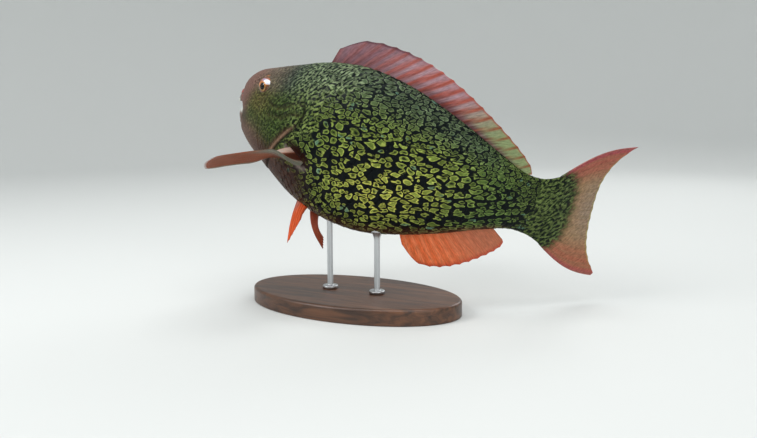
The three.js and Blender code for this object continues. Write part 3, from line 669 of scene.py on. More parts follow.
scaleSizes = {
    "from": 60, "to": rootEnd,  # mm behind the snout
    "pitch": ([60, 120, 200, 300, 386], [7.4, 9.6, 10.0, 8.2, 5.6]),  # mm from one scale to the next
    "row": ([60, 120, 200, 300, 360, 386], [6.0, 7.6, 7.8, 6.2, 4.6, 4.6]),  # mm between rows
    "length": 1.5, "width": 2.12,  # in pitches and in rows
    "front": -0.25, "rise": 0.62, "dome": 0.16, "thick": 0.4,  # mm above the skin, and thickness
    "along": 6, "across": 6,  # points of a scale's grid
    "strayX": 0.22, "strayG": 0.16, "varies": 0.03,  # spread in mm along and around, and of the size
}
bare = {"gill": 4.6, "root": -13, "axil": 19, "eye": 17, "throat": (98, -38), "end": 383}  # mm without scales
rowX = ringAtRow[:, 0]
firstOuterRow = int(np.argmax(rowRing >= 6))  # the first one behind the lips


# Row, and shape, normal and paint of the skin, at x behind the snout and a turn around it counted in
# columns: mixed from the four nearest points of the grid
def skinAt(x, col):
    row = np.interp(x, rowX[firstOuterRow:], np.arange(firstOuterRow, rowCount, dtype=float))
    r0 = np.clip(np.floor(row).astype(int), 0, rowCount - 2)
    c0 = np.floor(col).astype(int)
    fr, fc = (row - r0)[..., None], (col - c0)[..., None]
    c0, c1 = c0 % colCount, (c0 + 1) % colCount
    found = []
    for grid in (skinShape, skinNormal, skinGround, skinMarks):
        a, b = (mix(grid[r, c0], grid[r, c1], fc) for r in (r0, r0 + 1))
        found.append(mix(a, b, fr))
    return row, found


def girths(x):  # arc from the widest line of a side up to the back, and down to the belly
    return [np.interp(x, rowX[firstOuterRow:], length[firstOuterRow:]) for length in (highLength, lowLength)]


# Column at arc length g up (or down) from the widest line of a side
def columnAt(x, g, side):
    up, down = girths(x)
    turn = np.where(g > 0, g / up, g / down)  # quarters from the side's middle
    return quarter * np.where(side < 0, 1 + turn, 3 - turn)


# Centres of the scales as x, arc length and side: like tiles, rows keep their distance in arc length and
# every second row is shifted by half a scale. Gill edge, fin root, eye and throat are left bare.
def scaleCentres():
    fineStep = 0.25
    xs = np.arange(scaleSizes["from"], scaleSizes["to"], fineStep, dtype=float)
    counted = np.concatenate([[0], np.cumsum(fineStep / np.interp(xs, *scaleSizes["pitch"]))[:-1]])
    j, k = np.meshgrid(np.arange(0, counted[-1], 0.5), np.arange(-26, 27), indexing="ij")
    shifted = ((np.round(j * 2).astype(int) + k) % 2) == 0
    j, k = j[shifted], k[shifted]
    centres = []
    for side in (-1, 1):
        x = np.interp(j, counted, xs) + rng.normal(0, scaleSizes["strayX"], j.shape)
        g = k * np.interp(x, *scaleSizes["row"]) + rng.normal(0, scaleSizes["strayG"], j.shape)
        up, down = girths(x)
        inside = (g < up + 1.0) & (g > -down - 1.0)
        centres.append(np.stack([x[inside], g[inside], np.full(inside.sum(), side)], -1))
    centres = np.concatenate(centres)
    x, g, side = centres.T
    place = skinAt(x, columnAt(x, g, side))[1][0]
    px, pz = place[:, 0], place[:, 2]
    edge, edgeAlong = lineDistance(gill["edge"], px, pz)
    rootAway, spotAway = pectoralAway(px, pz)
    clear = (np.abs(edge + 1.5) > bare["gill"]) | (edgeAlong < 0.1)
    clear &= (rootAway < bare["root"]) | (spotAway > bare["axil"])
    clear &= np.hypot(px - eye["x"], pz - eye["z"]) > bare["eye"]
    clear &= (px > bare["throat"][0]) | (pz > bare["throat"][1])
    clear &= px < bare["end"]
    return centres[clear].T


# Each scale is a rounded plate that starts under its neighbours and rises towards its rear edge. A rim and a
# fan of triangles underneath close it.
def buildScales():
    x, g, side = scaleCentres()
    a = np.linspace(0, 1, scaleSizes["along"])
    b = np.linspace(-1, 1, scaleSizes["across"])
    a, b = np.meshgrid(a, b, indexing="ij")
    wide = 0.12 + 0.88 * np.sqrt(1 - np.abs(2 * a - 1) ** 2.4)
    size = (1 + rng.normal(0, scaleSizes["varies"], len(x)))[:, None, None]
    x, g, side = (v[:, None, None] for v in (x, g, side))
    pitch, row = np.interp(x, *scaleSizes["pitch"]), np.interp(x, *scaleSizes["row"])
    gx = np.minimum(x + (a - 0.4) * pitch * scaleSizes["length"] * size, scaleSizes["to"])
    gg = g + b * wide * row * scaleSizes["width"] / 2 * size
    column = columnAt(gx, gg, side)
    atRow, (shape, normal, ground, marks) = skinAt(gx, column)
    rise = scaleSizes["front"] + scaleSizes["rise"] * a - scaleSizes["dome"] * b**2 * wide
    top = shape + normal * (rise * (1 - 0.35 * smooth(120, 90, x)))[..., None]  # thinner on the head

    index = np.arange(a.size).reshape(a.shape)
    border = np.concatenate([index[0, :-1], index[:-1, -1], index[-1, :0:-1], index[:0:-1, 0]])
    count, per = len(x), a.size + len(border) + 1
    flatTop = top.reshape(count, -1, 3)
    lower = flatTop[:, border] - normal.reshape(count, -1, 3)[:, border] * scaleSizes["thick"]
    points = np.concatenate([flatTop, lower, lower.mean(1, keepdims=True)], 1).reshape(-1, 3)
    quads, _ = gridQuads(*a.shape)
    rim = a.size + np.arange(len(border))
    wall = np.stack([border, np.roll(border, -1), np.roll(rim, -1), rim], -1)
    under = fanTriangles(a.size + len(border), rim, turned=True)
    offsets = (np.arange(count) * per)[:, None, None]
    faces4 = (np.concatenate([quads, wall[:, ::-1]])[None] + offsets).reshape(-1, 4)
    faces3 = (under[None, :, ::-1] + offsets).reshape(-1, 3)

    def spread(v):  # values of the top also serve the rim and the underside
        v = v.reshape(count, a.size, -1)
        rims = v[:, border]
        return np.concatenate([v, rims, rims.mean(1, keepdims=True)], 1).reshape(count * per, -1)

    uvPoint = skinUV(spread(atRow)[:, 0], spread(column)[:, 0])
    layers = coatLayers(spread(ground), spread(marks), spread(np.stack([gx, 0 * gx, gg], -1)))
    uv = [uvPoint[faces4], uvPoint[faces3]]
    return newMesh("fish_scales", placeFish(points), [faces4, faces3], uv, layers), count


scales, scaleCount = buildScales()
scales.data.materials.append(newMaterial("wetFishScales", wetSkin, 0.42, 0.35))
print("scales,", scaleCount, "scales,", len(scales.data.polygons), "faces")

# Fins

finMake = {  # what a fin has unless its own dictionary says otherwise
    "rays": 6, "spines": 0, "perRay": 10, "rows": 30, "flesh": 0.45, "dip": 0.03,
    "membrane": 0.26, "ray": 0.5, "fade": 0.5,  # mm on each side, and how much thinner a ray gets
}
dorsalFin = {
    "make": {"rays": 19, "spines": 9},
    "from": 119, "sink": 5, "wave": 1.6,
    "lean": ([119, 130, 150, 180, 210, 265, 320, 347],
             [0.41, 0.8, 1.1, 1.4, 1.7, 2.4, 3.6, 4.2]),  # mm that a ray goes back for each mm out
    "margin": np.array([[0, 126, 94], [0.1, 154, 107], [0.25, 193, 108.5], [0.4, 229, 101.5],
                        [0.55, 262, 88.5], [0.7, 296, 69.5], [0.85, 328, 48], [0.95, 344, 34], [1, 347, 27]]),
}
analFin = {
    "make": {"rays": 12, "spines": 3},
    "from": 235, "sink": 5, "wave": 1.4,
    "lean": ([235, 262, 290, 340], [0.75, 0.95, 1.3, 2.0]),
    "margin": np.array([[0, 244, -77], [0.2, 263, -89], [0.4, 284, -87], [0.6, 304, -78], [0.75, 321, -66],
                        [0.88, 335, -54], [0.96, 340, -46.5], [1, 338, -42.5]]),
}
tailFin = {
    "make": {"rays": 15, "perRay": 12, "rows": 44, "dip": 0.012},
    "rootX": 378, "middle": -3, "rootUp": 33.5, "rootDown": 38, "upTip": (452, 75), "downTip": (456, -65),
    "forkX": 425, "forkPower": 2.8, "forkLift": 8, "bulge": 8, "wave": 2.5,
    "scalyTo": 402, "scalyBack": 19,  # how far out the coat reaches, and how far less at the edges
}
pectoralFin = {
    "make": {"rays": 12, "rows": 40, "flesh": 1.9},
    "length": 88, "width": 50, "sink": 4, "span": (-0.176, -0.976, -0.127),
    "chord": (0.764, 0.009, 0.646), "lengthen": 0.4, "rounding": 0.05, "arch": 2.6,
}
pelvicFins = {
    "make": {"spines": 1},
    "side": 7, "rootChord": 15, "sink": 7,
    -1: {"x": 131, "length": 54.3, "span": (0.272, -0.658, -0.695), "fan": (3.8, 2, 1.5),
         "shorten": 0.55, "arch": 2.5},
    1: {"x": 137.3, "length": 51, "span": (0.445, 0, -0.896), "fan": (6.7, -2, -4.2),
        "shorten": 0.4, "arch": -9.8},
}


def unit(v):  # the direction of v, of length 1
    return np.asarray(v, float) / np.linalg.norm(v)


# Where the ray through (x, z) leaves the body: a ray goes lean mm back for each mm out, and halving finds
# its root
def rayRoot(fin, column, x, z):
    low, high = np.full(x.shape, fin["from"] - 30.0), np.full(x.shape, 400.0)
    for _ in range(32):
        middle = (low + high) / 2
        short = middle + np.interp(middle, *fin["lean"]) * np.abs(z - bodyAt(column, middle)) < x
        low, high = np.where(short, middle, low), np.where(short, high, middle)
    return low


# Fin of the back or belly: s runs along the rays' roots, and each ray goes straight to the margin, waving
# sideways
def medianSurface(fin, column):
    margin = through(fin["margin"][:, 0], fin["margin"][:, 1:], np.linspace(0, 1, 400))
    roots = np.maximum.accumulate(rayRoot(fin, column, margin[:, 0], margin[:, 1]) + np.arange(400) * 1e-6)

    def surface(s, t):
        x = mix(roots[0], roots[-1], s)
        body = bodyAt(column, x)
        tip = np.stack([np.interp(x, roots, margin[:, 0]), np.interp(x, roots, margin[:, 1])], -1)
        rootX = x - 0.4 * fin["sink"] * np.interp(x, *fin["lean"]) * smooth(0, 0.1, s)
        return np.stack([mix(rootX, tip[..., 0], t), fin["wave"] * np.sin(5 * s + 1) * t * t,
                         mix(body - fin["sink"] * np.sign(body), tip[..., 1], t)], -1)

    return surface


# Tail fin: h runs from the lower edge, -1, to the upper, 1; the margin is forked by |h|^power
def tailSurface(s, t):
    h = 2 * s - 1
    up = h > 0
    tipX = np.where(up, tailFin["upTip"][0], tailFin["downTip"][0])
    tipZ = np.where(up, tailFin["upTip"][1], tailFin["downTip"][1])
    rootZ = tailFin["middle"] + h * np.where(up, tailFin["rootUp"], tailFin["rootDown"])
    edgeX = tailFin["forkX"] + (tipX - tailFin["forkX"]) * np.abs(h) ** tailFin["forkPower"]
    edgeZ = tailFin["middle"] + tailFin["forkLift"] * (1 - np.abs(h)) + (tipZ - tailFin["middle"]) * np.abs(h)
    return np.stack([mix(tailFin["rootX"], edgeX, t), tailFin["wave"] * np.sin(3.5 * h) * t * t,
                     mix(rootZ, edgeZ, t) + tailFin["bulge"] * h * np.sin(pi * t)], -1)


# Pectoral fin: the root slants down behind the gill cover, the blade turns out of it along span
def pectoralSurface(side, s, t):
    (x0, z0), (x1, z1) = pectoralRoot
    x, z = mix(x0, x1, s), mix(z0, z1, s)
    root = np.stack([x, leftSide(x, z) + pectoralFin["sink"], z], -1)
    mx, mz = (x0 + x1) / 2, (z0 + z1) / 2
    middle = np.array([mx, leftSide(mx, mz) + pectoralFin["sink"], mz])
    span, chord = unit(pectoralFin["span"]), unit(pectoralFin["chord"])
    lift = unit(np.cross(span, chord))
    turned = smooth(0, 0.5, t)[..., None]
    longer = 1 + pectoralFin["lengthen"] * s + pectoralFin["rounding"] * np.sin(pi * s)
    reach = (pectoralFin["length"] * longer * t)[..., None]
    fan = (s - 0.38) * pectoralFin["width"] * (0.7 + 0.3 * t)
    blade = (mix(root, middle, turned) + span * reach + chord * fan[..., None] * turned
             + lift * (pectoralFin["arch"] * np.sin(pi * t))[..., None])
    return blade * [1, -side, 1]


# Pelvic fin: a narrow folded fan under the breast
def pelvicSurface(side, s, t):
    fin, own = pelvicFins, pelvicFins[side]
    x = own["x"] + (s - 0.5) * fin["rootChord"]
    root = np.stack([x, np.full_like(x, side * fin["side"]), bodyAt(3, x) + fin["sink"]], -1)
    start = np.array([own["x"], side * fin["side"], bodyAt(3, own["x"]) + fin["sink"]])
    reach = own["length"] * (1 - own["shorten"] * s)
    tip = start + unit(own["span"]) * reach[..., None] + np.array(own["fan"]) * s[..., None]
    bow = np.stack([np.zeros_like(t), side * own["arch"] * np.sin(pi * t), np.zeros_like(t)], -1)
    return mix(root, tip, t[..., None]) + bow


# Half thickness of a fin, and its ray pattern from 0 to 1: a ray is a bell across s that splits in two
# towards the margin, unless it is a spine, which only tapers
def rayed(make, s, t):
    near = s * (make["rays"] - 1)
    spiny = np.round(near) < make["spines"]
    split = np.where(spiny, 0, 0.17 * smooth(0.35, 0.85, t))
    crest = bell(np.abs(near - np.round(near)) - split, np.where(spiny, 0.13, 0.11))
    half = make["membrane"] + make["ray"] * crest * (1 - make["fade"] * t)
    return half + make["flesh"] * (1 - t) ** 3, crest


# A closed sheet from the grids of its two faces, joined round the edge: points, faces and unwrap. Its first
# and last rows are closed by caps.
def closedSheet(front, back):
    grid = np.concatenate([front, back[:, ::-1]], 1)
    rows, cols = grid.shape[:2]
    quads, corners = gridQuads(rows, cols, wrap=True)
    j = np.arange(cols // 2 - 1)
    cap = np.stack([j, j + 1, cols - 2 - j, cols - 1 - j], -1)
    uv = [corners / [rows - 1, cols]]
    for end, across in ((0.0, cap), (1.0, cap[:, ::-1])):
        uv.append(np.stack([np.full(cap.shape, end), across / cols], -1))
    faces = [quads, cap, (rows - 1) * cols + cap[:, ::-1]]
    return placeFish(grid.reshape(-1, 3)), faces, [0.02 + 0.96 * u for u in uv]


def bothFaces(v):  # values of a sheet, for its front and then its back
    return np.concatenate([v, v[:, ::-1]], 1).reshape(-1, v.shape[-1])


# A fin's mesh: its surface with half a thickness to each side. The margin dips a little between the rays, and
# the coat of the tail's root is carried out over the fin as far as scaly says.
def buildFin(name, surface, make, paint, scaly):
    make = {**finMake, **make}
    s, t = np.meshgrid(np.linspace(0, 1, (make["rays"] - 1) * make["perRay"] + 1),
                       np.linspace(0, 1, make["rows"]), indexing="ij")
    half, crest = rayed(make, s, t)
    near = s * (make["rays"] - 1)
    dips = make["dip"] * np.sin(pi * (near - np.floor(near)))
    sheet = surface(s, t * (1 - (dips + 0.08 * bell(s, 0.015)) * smooth(0.6, 1, t)))
    out = gridNormals(sheet, wrap=False) * (half * (1 - 0.75 * smooth(0.93, 1, t)))[..., None]
    points, faces, uv = closedSheet(sheet + out, sheet - out)
    x, y, z = np.moveaxis(sheet, -1, 0)
    ground, marks = coatPaint(np.stack([np.minimum(x, rootEnd), y, z * 0.6], -1))
    reach = scaly(s, t, sheet) if scaly else np.zeros(s.shape)
    ground[..., :3] = lerpColour(paint(s, t, crest), ground[..., :3], reach)
    marks[..., 3] *= reach
    layers = coatLayers(bothFaces(ground), bothFaces(marks), bothFaces(sheet - [0, 0, tailFin["middle"]]))
    layers["finPlace"] = bothFaces(np.stack([near, t, 0 * t], -1))
    return newMesh(name, points, faces, uv, layers)


finColours = palette(
    front="#785860", frontRay="#8a4a44", lilac="#a08289", ray="#a04a38", violet="#3a1c2a",
    dorsalBase="#4a1e20", green="#87966a", brownRay="#8c4f30", margin="#964636",
    anal="#d96a3c", analPale="#e88d60", analRear="#ab6a50", analEdge="#b8402e",
    tail="#997b5a", tailBlue="#8a8076", tailUp="#a05c4c", tailTop="#9c4652", tailLow="#a2644c",
    tailRim="#a0a860",
    pelvic="#dd5628", pelvicPale="#e8855a", pelvicRoot="#c08478", pelvicDark="#8a3a22", pelvicFar="#a04e36",
    # the blade's two grey edge tones are painted highlight, and maroon is painted shade in the hollow at the
    # pectoral fin's root
    blade="#8a4828", bladeDark="#5e2c1a", bladeTop="#72766a", bladeEdge="#7c8878", cream="#b5a094",
    maroon="#38190f",
)
finColours["tailRay"] = 0.75 * finColours["tail"]
finColours["pelvicFarRay"] = 0.8 * finColours["pelvicDark"]


def bands(near, lag=0.0):  # 1 on each ray and 0 between, or the other way round with a lag of pi
    return 0.5 + 0.5 * np.cos(2 * pi * near + lag)


def dorsalPaint(s, t, crest):  # soft bands: rays reddish, the skin between them lilac; greenish at the rear
    near = s * (dorsalFin["make"]["rays"] - 1)
    band = 0.7 * bands(near) + 0.3 * bands(2 * near, 6 * t)
    rear = smooth(0.52, 0.8, s)
    membraneTone = layered(finColours, "front", ("lilac", smooth(0.12, 0.35, s)),
                           ("green", rear * smooth(0.2, 0.5, t)))
    rayTone = layered(finColours, "frontRay", ("ray", smooth(0.1, 0.3, s)), ("brownRay", rear))
    thin = smooth(0.15 + 0.4 * rear, 0.9 + 0.1 * rear, band)
    base = t + 0.06 * np.sin(23 * near) - 0.05 * np.sin(11 * near + 1)
    banded = lerpColour(membraneTone, rayTone, thin * (0.5 + 0.4 * smooth(0.1, 0.4, s)))
    return layered(finColours, banded,
                   ("dorsalBase", smooth(0.62, 0.2, base) * (0.35 + 0.5 * smooth(0.3, 0.6, s))),
                   ("violet", smooth(0.9, 0.98, t) * smooth(0.4, 0.2, s) * 0.8),
                   ("margin", smooth(0.92, 0.98, t) * smooth(0.35, 0.6, s) * 0.75))


def analPaint(s, t, crest):  # coral with paler streaks and a red margin, browner to the rear
    band = bands(s * (analFin["make"]["rays"] - 1), pi)
    return layered(finColours, "anal", ("analPale", band**2 * 0.5),
                   ("analRear", smooth(0.25, 0.85, s) * 0.85),
                   ("analEdge", smooth(0.86, 0.97, t) * 0.6))


def tailPaint(s, t, crest):  # olive brown, greyer in the middle, with rosy lobes and a pale rim
    h = 2 * s - 1
    return layered(finColours, "tail",
                   ("tailBlue", bell(h, 0.5) * smooth(0.4, 0.9, t) * 0.6),
                   ("tailUp", smooth(0.35, 0.75, h)),
                   ("tailLow", smooth(-0.4, -0.8, h)),
                   ("tailTop", smooth(0.84, 0.96, h) * 0.8),
                   ("tailTop", smooth(-0.88, -0.97, h) * 0.6),
                   ("tailRim", smooth(0.965, 0.99, t) * smooth(0.9, 0.7, np.abs(h)) * 0.7),
                   ("tailRay", crest * 0.35))


def tailScaly(s, t, p):  # the scaly root reaches out to a rounded line on the fin
    ragged = np.sin(47 * s) + 0.7 * np.sin(103 * s + 2)
    reach = tailFin["scalyTo"] - tailFin["scalyBack"] * np.abs(2 * s - 1) ** 2.4
    return smooth(6, -6, p[..., 0] + ragged - reach)


def pelvicPaint(s, t, crest):  # orange with paler streaks, pink at the root and dark at the rear edge
    band = bands(s * (finMake["rays"] - 1), pi)
    return layered(finColours, "pelvic", ("pelvicPale", band**2 * 0.45),
                   ("pelvicRoot", smooth(0.4, 0.1, t) * smooth(0.5, 0.1, s) * 0.8),
                   ("pelvicDark", np.clip(smooth(0.75, 0.98, s) * 0.7 + smooth(0.93, 1, t) * 0.4, 0, 1)))


def farPelvicPaint(s, t, crest):  # in the body's shade
    return layered(finColours, "pelvicFar", ("pelvicFarRay", crest * 0.5))


def pectoralPaint(s, t, crest):  # red-brown blade with a grey upper edge; cream and maroon at its root
    root = smooth(0.46, 0.14, t)
    return layered(finColours, "blade", ("bladeDark", crest * 0.5),
                   # painted highlight: grey along the blade's upper edge and along its leading edge
                   ("bladeTop", smooth(0.72, 0.95, s) * smooth(0.75, 0.45, t) * 0.9),
                   ("bladeEdge", smooth(0.12, 0.02, s) * smooth(0.2, 0.5, t) * 0.6),
                   # painted shade: maroon in the hollow at the fin's root; the cream beside it is the root's
                   # own colour
                   ("maroon", root * smooth(0.25, 0.45, s) * smooth(0.92, 0.8, s) * 0.95),
                   ("cream", root * smooth(0.4, 0.2, s) * 0.85))


# Fin membrane: thin skin stretched between bony rays, so it glows a little where light comes from behind.
# Fine fibres run along the rays, about seven to a ray, each a fifth of the ray long.
def finSkin(add, scaly, contrast):
    place = add("Attribute", out="Vector", attribute_name="finPlace")
    colour = coatColour(add) if scaly else add("Attribute", out="Color", attribute_name="ground")
    stretched = add("VectorMath", [place, (7.0, 5.0, 1.0)], operation="MULTIPLY")
    fibre = add("TexNoise", {"Vector": stretched, "Scale": 1.0, "Detail": 4.0, "Roughness": 0.65})
    shade = add("MapRange", [fibre, 0.3, 0.7, 1 - contrast, 1 + contrast])
    return {
        "Base Color": add("VectorMath", {0: colour, "Scale": shade}, operation="SCALE"),
        "Normal": add("Bump", {"Strength": 0.4, "Distance": 0.3 * mm, "Height": fibre}),
        "Roughness": 0.5, "IOR": 1.4, "Specular IOR Level": 0.2, "Subsurface Weight": 0.15,
        "Subsurface Scale": 0.002, "Coat Weight": 0.03, "Coat Roughness": 0.25,
    }


membrane = newMaterial("finMembrane", finSkin, False, 0.33)
scalyMembrane = newMaterial("scalyFinMembrane", finSkin, True, 0.12)
fins = {}
for node, surface, fin, paint, scaly in (
    ("dorsal_fin", medianSurface(dorsalFin, 1), dorsalFin, dorsalPaint, None),
    ("anal_fin", medianSurface(analFin, 3), analFin, analPaint, None),
    ("tail_fin", tailSurface, tailFin, tailPaint, tailScaly),
    ("pectoral_fin_left", partial(pectoralSurface, -1), pectoralFin, pectoralPaint, None),
    ("pectoral_fin_right", partial(pectoralSurface, 1), pectoralFin, pectoralPaint, None),
    ("pelvic_fin_left", partial(pelvicSurface, -1), pelvicFins, pelvicPaint, None),
    ("pelvic_fin_right", partial(pelvicSurface, 1), pelvicFins, farPelvicPaint, None),
):
    fins[node] = buildFin(node + "_rayed", surface, fin["make"], paint, scaly)
    fins[node].data.materials.append(scalyMembrane if scaly else membrane)
print("fins,", len(fins))

# Beak

beak = {
    "half": 7, "turn": 1.6, "thick": 2, "reach": 11.3, "teeth": 15, "rows": 5, "grid": (121, 26),
    "rib": 0.1, "groove": 0.28, "scallop": 0.28,  # mm: teeth, groove at the front, waves of the edge
    "upper": {"middle": 13.5, "root": 13.5, "edge": 4, "arch": 1.8, "lean": 4.5, "bulge": 0},
    "lower": {"middle": 21.5, "root": -17, "edge": -1.2, "arch": -1.8, "lean": 5, "bulge": 4},
}
beakColours = palette(root="#6b564c", tooth="#dfe2d8", seam="#b7b59c")


def opaque(colour):  # colours with an alpha of 1
    return np.concatenate([colour, np.ones((len(colour), 1))], 1)


# A jaw's plate: it turns round the mouth's middle with s and runs from root to edge with t. Teeth show as
# low ribs in rows that die out towards the root, and a groove parts the plate at the front.
def buildBeak(name, jaw):
    s, t = np.meshgrid(*(np.linspace(0, 1, count) for count in beak["grid"]), indexing="ij")
    turn = (2 * s - 1) * beak["turn"]
    front = beak["reach"] - jaw["lean"] * (1 - t) ** 2 + jaw["bulge"] * np.sin(pi * t)
    rows = np.floor(t * beak["rows"])
    rib = np.cos(2 * pi * (s * beak["teeth"] + 0.5 * (rows % 2))) * np.sin(pi * (t * beak["rows"] - rows))
    bumps = beak["rib"] * rib * smooth(0.25, 0.8, t) - beak["groove"] * bell(turn, 0.035)
    scallops = beak["scallop"] * np.cos(2 * pi * s * beak["teeth"]) * (1 - bell(turn, 0.02))
    lip = jaw["edge"] + np.sign(jaw["root"]) * scallops
    z = mix(jaw["root"], lip, t) + jaw["arch"] * (1 - np.cos(turn))
    sheet = np.stack([jaw["middle"] - front * np.cos(turn), beak["half"] * np.sin(turn), z], -1)
    normal = gridNormals(sheet, wrap=False)
    normal *= np.sign((normal[..., :2] * (sheet[..., :2] - [jaw["middle"], 0])).sum(-1, keepdims=True))
    half = beak["thick"] / 2 * (1 - 0.6 * t)
    outer, inner = sheet + normal * (half + bumps)[..., None], sheet - normal * half[..., None]
    points, faces, _ = closedSheet(outer, inner)
    colour = layered(beakColours, "root", ("tooth", smooth(0.6, 0.82, t) * smooth(1.3, 0.7, np.abs(turn))),
                     ("seam", 0.5 * bell(turn, 0.04)))
    return newMesh(name, points, faces, None, {"ground": opaque(bothFaces(colour))})


# Tooth enamel: hard, glassy and a little translucent
def toothEnamel(add):
    noise = add("TexNoise", {"Vector": add("TexCoord", out="Object"), "Scale": 900.0, "Detail": 3.0})
    shade = add("MapRange", [noise, 0, 1, 0.85, 1.1])
    colour = add("Attribute", out="Color", attribute_name="ground")
    return {
        "Base Color": add("VectorMath", {0: colour, "Scale": shade}, operation="SCALE"),
        "Roughness": 0.25, "IOR": 1.62, "Subsurface Weight": 0.1, "Subsurface Scale": 0.001,
    }


enamel = newMaterial("toothEnamel", toothEnamel)
upperBeak, lowerBeak = (buildBeak("beak_" + label + "_teeth", beak[label]) for label in ("upper", "lower"))
for plate in (upperBeak, lowerBeak):
    plate.data.materials.append(enamel)
print("beak")

# Eyes

iris = {  # mm, about a middle that lies back and down from the eyeball's pole
    "back": 2.2, "down": 2.6, "pupil": (3.0, 3.5), "orange": 5.2, "edge": 7.4,
    "under": 0.3, "pit": 0.5,  # how deep the iris and the pupil lie
}
irisColours = palette(inner="#a85424", spoke="#e08a34", rim="#8a4e2c", shade="#60473a", lilac="#9a8fb4",
                      white="#eef0f6", gold="#e8b050", pupil="#040404")


# Rays from a sphere's middle, theta from the pole that looks out and phi around it, and how far each leans
# to the rear of the fish and upwards
def sphereRays(out, thetas, phis):
    up = unit(np.array([0, 0, 1.0]) - out * out[2])
    rear = unit(np.array([1.0, 0, 0]) - out * out[0])
    rear = unit(rear - up * (rear @ up))
    theta, phi = np.meshgrid(thetas, phis, indexing="ij")
    ray = (out * np.cos(theta)[..., None]
           + (up * np.cos(phi)[..., None] + rear * np.sin(phi)[..., None]) * np.sin(theta)[..., None])
    return ray, ray @ rear, ray @ up


def closedSphere(name, grid, colour=None):  # a grid of rings whose first and last are closed by fans
    rows, cols = grid.shape[:2]
    quads, _ = gridQuads(rows, cols, wrap=True)
    points = np.concatenate([grid.reshape(-1, 3), grid[:1].mean(1), grid[-1:].mean(1)])
    first = fanTriangles(rows * cols, np.arange(cols), turned=True)
    last = fanTriangles(rows * cols + 1, (rows - 1) * cols + np.arange(cols))
    layers = None
    if colour is not None:
        layers = {"ground": opaque(np.concatenate([colour.reshape(-1, 3), colour[0, :1], colour[-1, :1]]))}
    return newMesh(name, placeFish(points), [quads, first, last], None, layers)


# The eyeball carries the iris: an upright oval pupil in a small pit that looks down and back a little, a gold
# line, an orange ring with fine spokes and a darker edge, and at the upper rear a painted highlight: a white
# patch with a lilac one beside it, as of light on the cornea, over a silvery part of the iris
def buildEye(name, side):
    _, centre, out = eyePlace(side)
    ball = eye["ball"]
    thetas = np.concatenate([np.linspace(0.01, 1.1, 80), np.linspace(1.16, pi - 0.02, 24)])
    phis = np.linspace(0, 2 * pi, 112, endpoint=False)
    ray, rear, up = sphereRays(out, thetas, phis)
    facing = (ray @ out) > 0
    u, v = ball * rear - iris["back"], ball * up + iris["down"]
    r = np.where(facing, np.hypot(u, v), 20)
    pupil = np.where(facing, np.hypot(u / iris["pupil"][0], v / iris["pupil"][1]), 5)
    hollow = iris["under"] * smooth(iris["edge"], iris["edge"] - 1.4, r)
    hollow += iris["pit"] * smooth(1.12, 0.88, pupil)
    turn = np.arctan2(v, u)
    spokes = 0.5 + 0.5 * np.sin(turn * 34 + 3 * np.sin(turn * 5) + r)
    # painted highlight: a white patch at the upper rear, with a lilac one beside it, stands for light on the
    # cornea over a silvery part of the iris
    sheen = smooth(1.05, 0.85, np.hypot((u - 2.4) / 3.7, (v - 6.0) / 2.9))
    colour = layered(irisColours, "inner", ("spoke", spokes * smooth(2.5, 4.5, r)),
                     ("rim", smooth(iris["orange"], iris["edge"], r) * 0.7),
                     ("shade", np.maximum(smooth(0, -3.0, v), smooth(2.0, 4.0, u - 0.6 * v)) * 0.9),
                     ("lilac", bell(np.hypot((u + 2.0) / 3.4, (v - 7.0) / 2.0), 1.0) * 0.95),
                     ("white", sheen * smooth(1.2, 1.5, pupil)),
                     ("gold", bell(pupil - 1.25, 0.14) * 0.5),
                     ("pupil", smooth(1.12, 0.96, pupil)))
    eyeball = closedSphere(name + "_iris", centre + ray * (ball - 0.12 - hollow)[..., None], colour)
    # the cornea bulges a little over the iris
    outer, inner = np.linspace(0.02, 1.1, 30), np.linspace(1.1, 0.02, 30)
    bulge = 0.1 * bell(outer, 0.6)
    shell = centre + sphereRays(out, outer, phis[::2])[0] * (ball - 0.1 + bulge)[:, None, None]
    lining = centre + sphereRays(out, inner, phis[::2])[0] * (ball - 0.35)
    return eyeball, closedSphere(name + "_cornea", np.concatenate([shell, lining]))


def moistIris(add):  # moist iris: pigment with a metallic glint
    colour = add("Attribute", out="Color", attribute_name="ground")
    return {"Base Color": colour, "Roughness": 0.3, "Metallic": 0.15, "IOR": 1.4}


def clearCornea(add):  # as it looks in water: IOR 1.376 / 1.333 and a little more, so it hardly reflects
    return {"Base Color": (1, 1, 1, 1), "Roughness": 0.03, "IOR": 1.1, "Transmission Weight": 1.0}


irisFinish, corneaFinish = newMaterial("irisPigment", moistIris), newMaterial("clearCornea", clearCornea)
eyes = {}
for label, side in (("left", -1), ("right", 1)):
    eyeball, cornea = buildEye("eye_" + label, side)
    eyeball.data.materials.append(irisFinish)
    cornea.data.materials.append(corneaFinish)
    eyes["eye_" + label] = (eyeball, cornea)
print("eyes")

# Stand

stand = {  # mm
    "length": 230, "width": 130, "height": 16, "round": 3.0, "lowRound": 1.2,
    "rods": (-28, 26), "radius": 3.0, "cup": 6.3, "foot": 8.0, "footHeight": 3.0, "gap": 0.3,
}


# A profile of (distance from the rim or axis, height) carried round an ellipse with half axes a and b
def lathe(name, profile, a, b, at=0, count=160):
    phi = np.linspace(0, 2 * pi, count, endpoint=False)
    r, z = profile[:, 0][:, None], profile[:, 1][:, None]
    x = at + (a - r) * np.cos(phi)
    grid = np.stack([x, (b - r) * np.sin(phi), np.broadcast_to(z, x.shape)], -1)
    quads, _ = gridQuads(len(profile), count, wrap=True)
    points = np.concatenate([grid.reshape(-1, 3), [[at, 0, profile[0, 1]], [at, 0, profile[-1, 1]]]]) * mm
    end = len(profile) * count
    first = fanTriangles(end, np.arange(count), turned=True)
    last = fanTriangles(end + 1, end - count + np.arange(count))
    return newMesh(name, points, [quads, first, last])


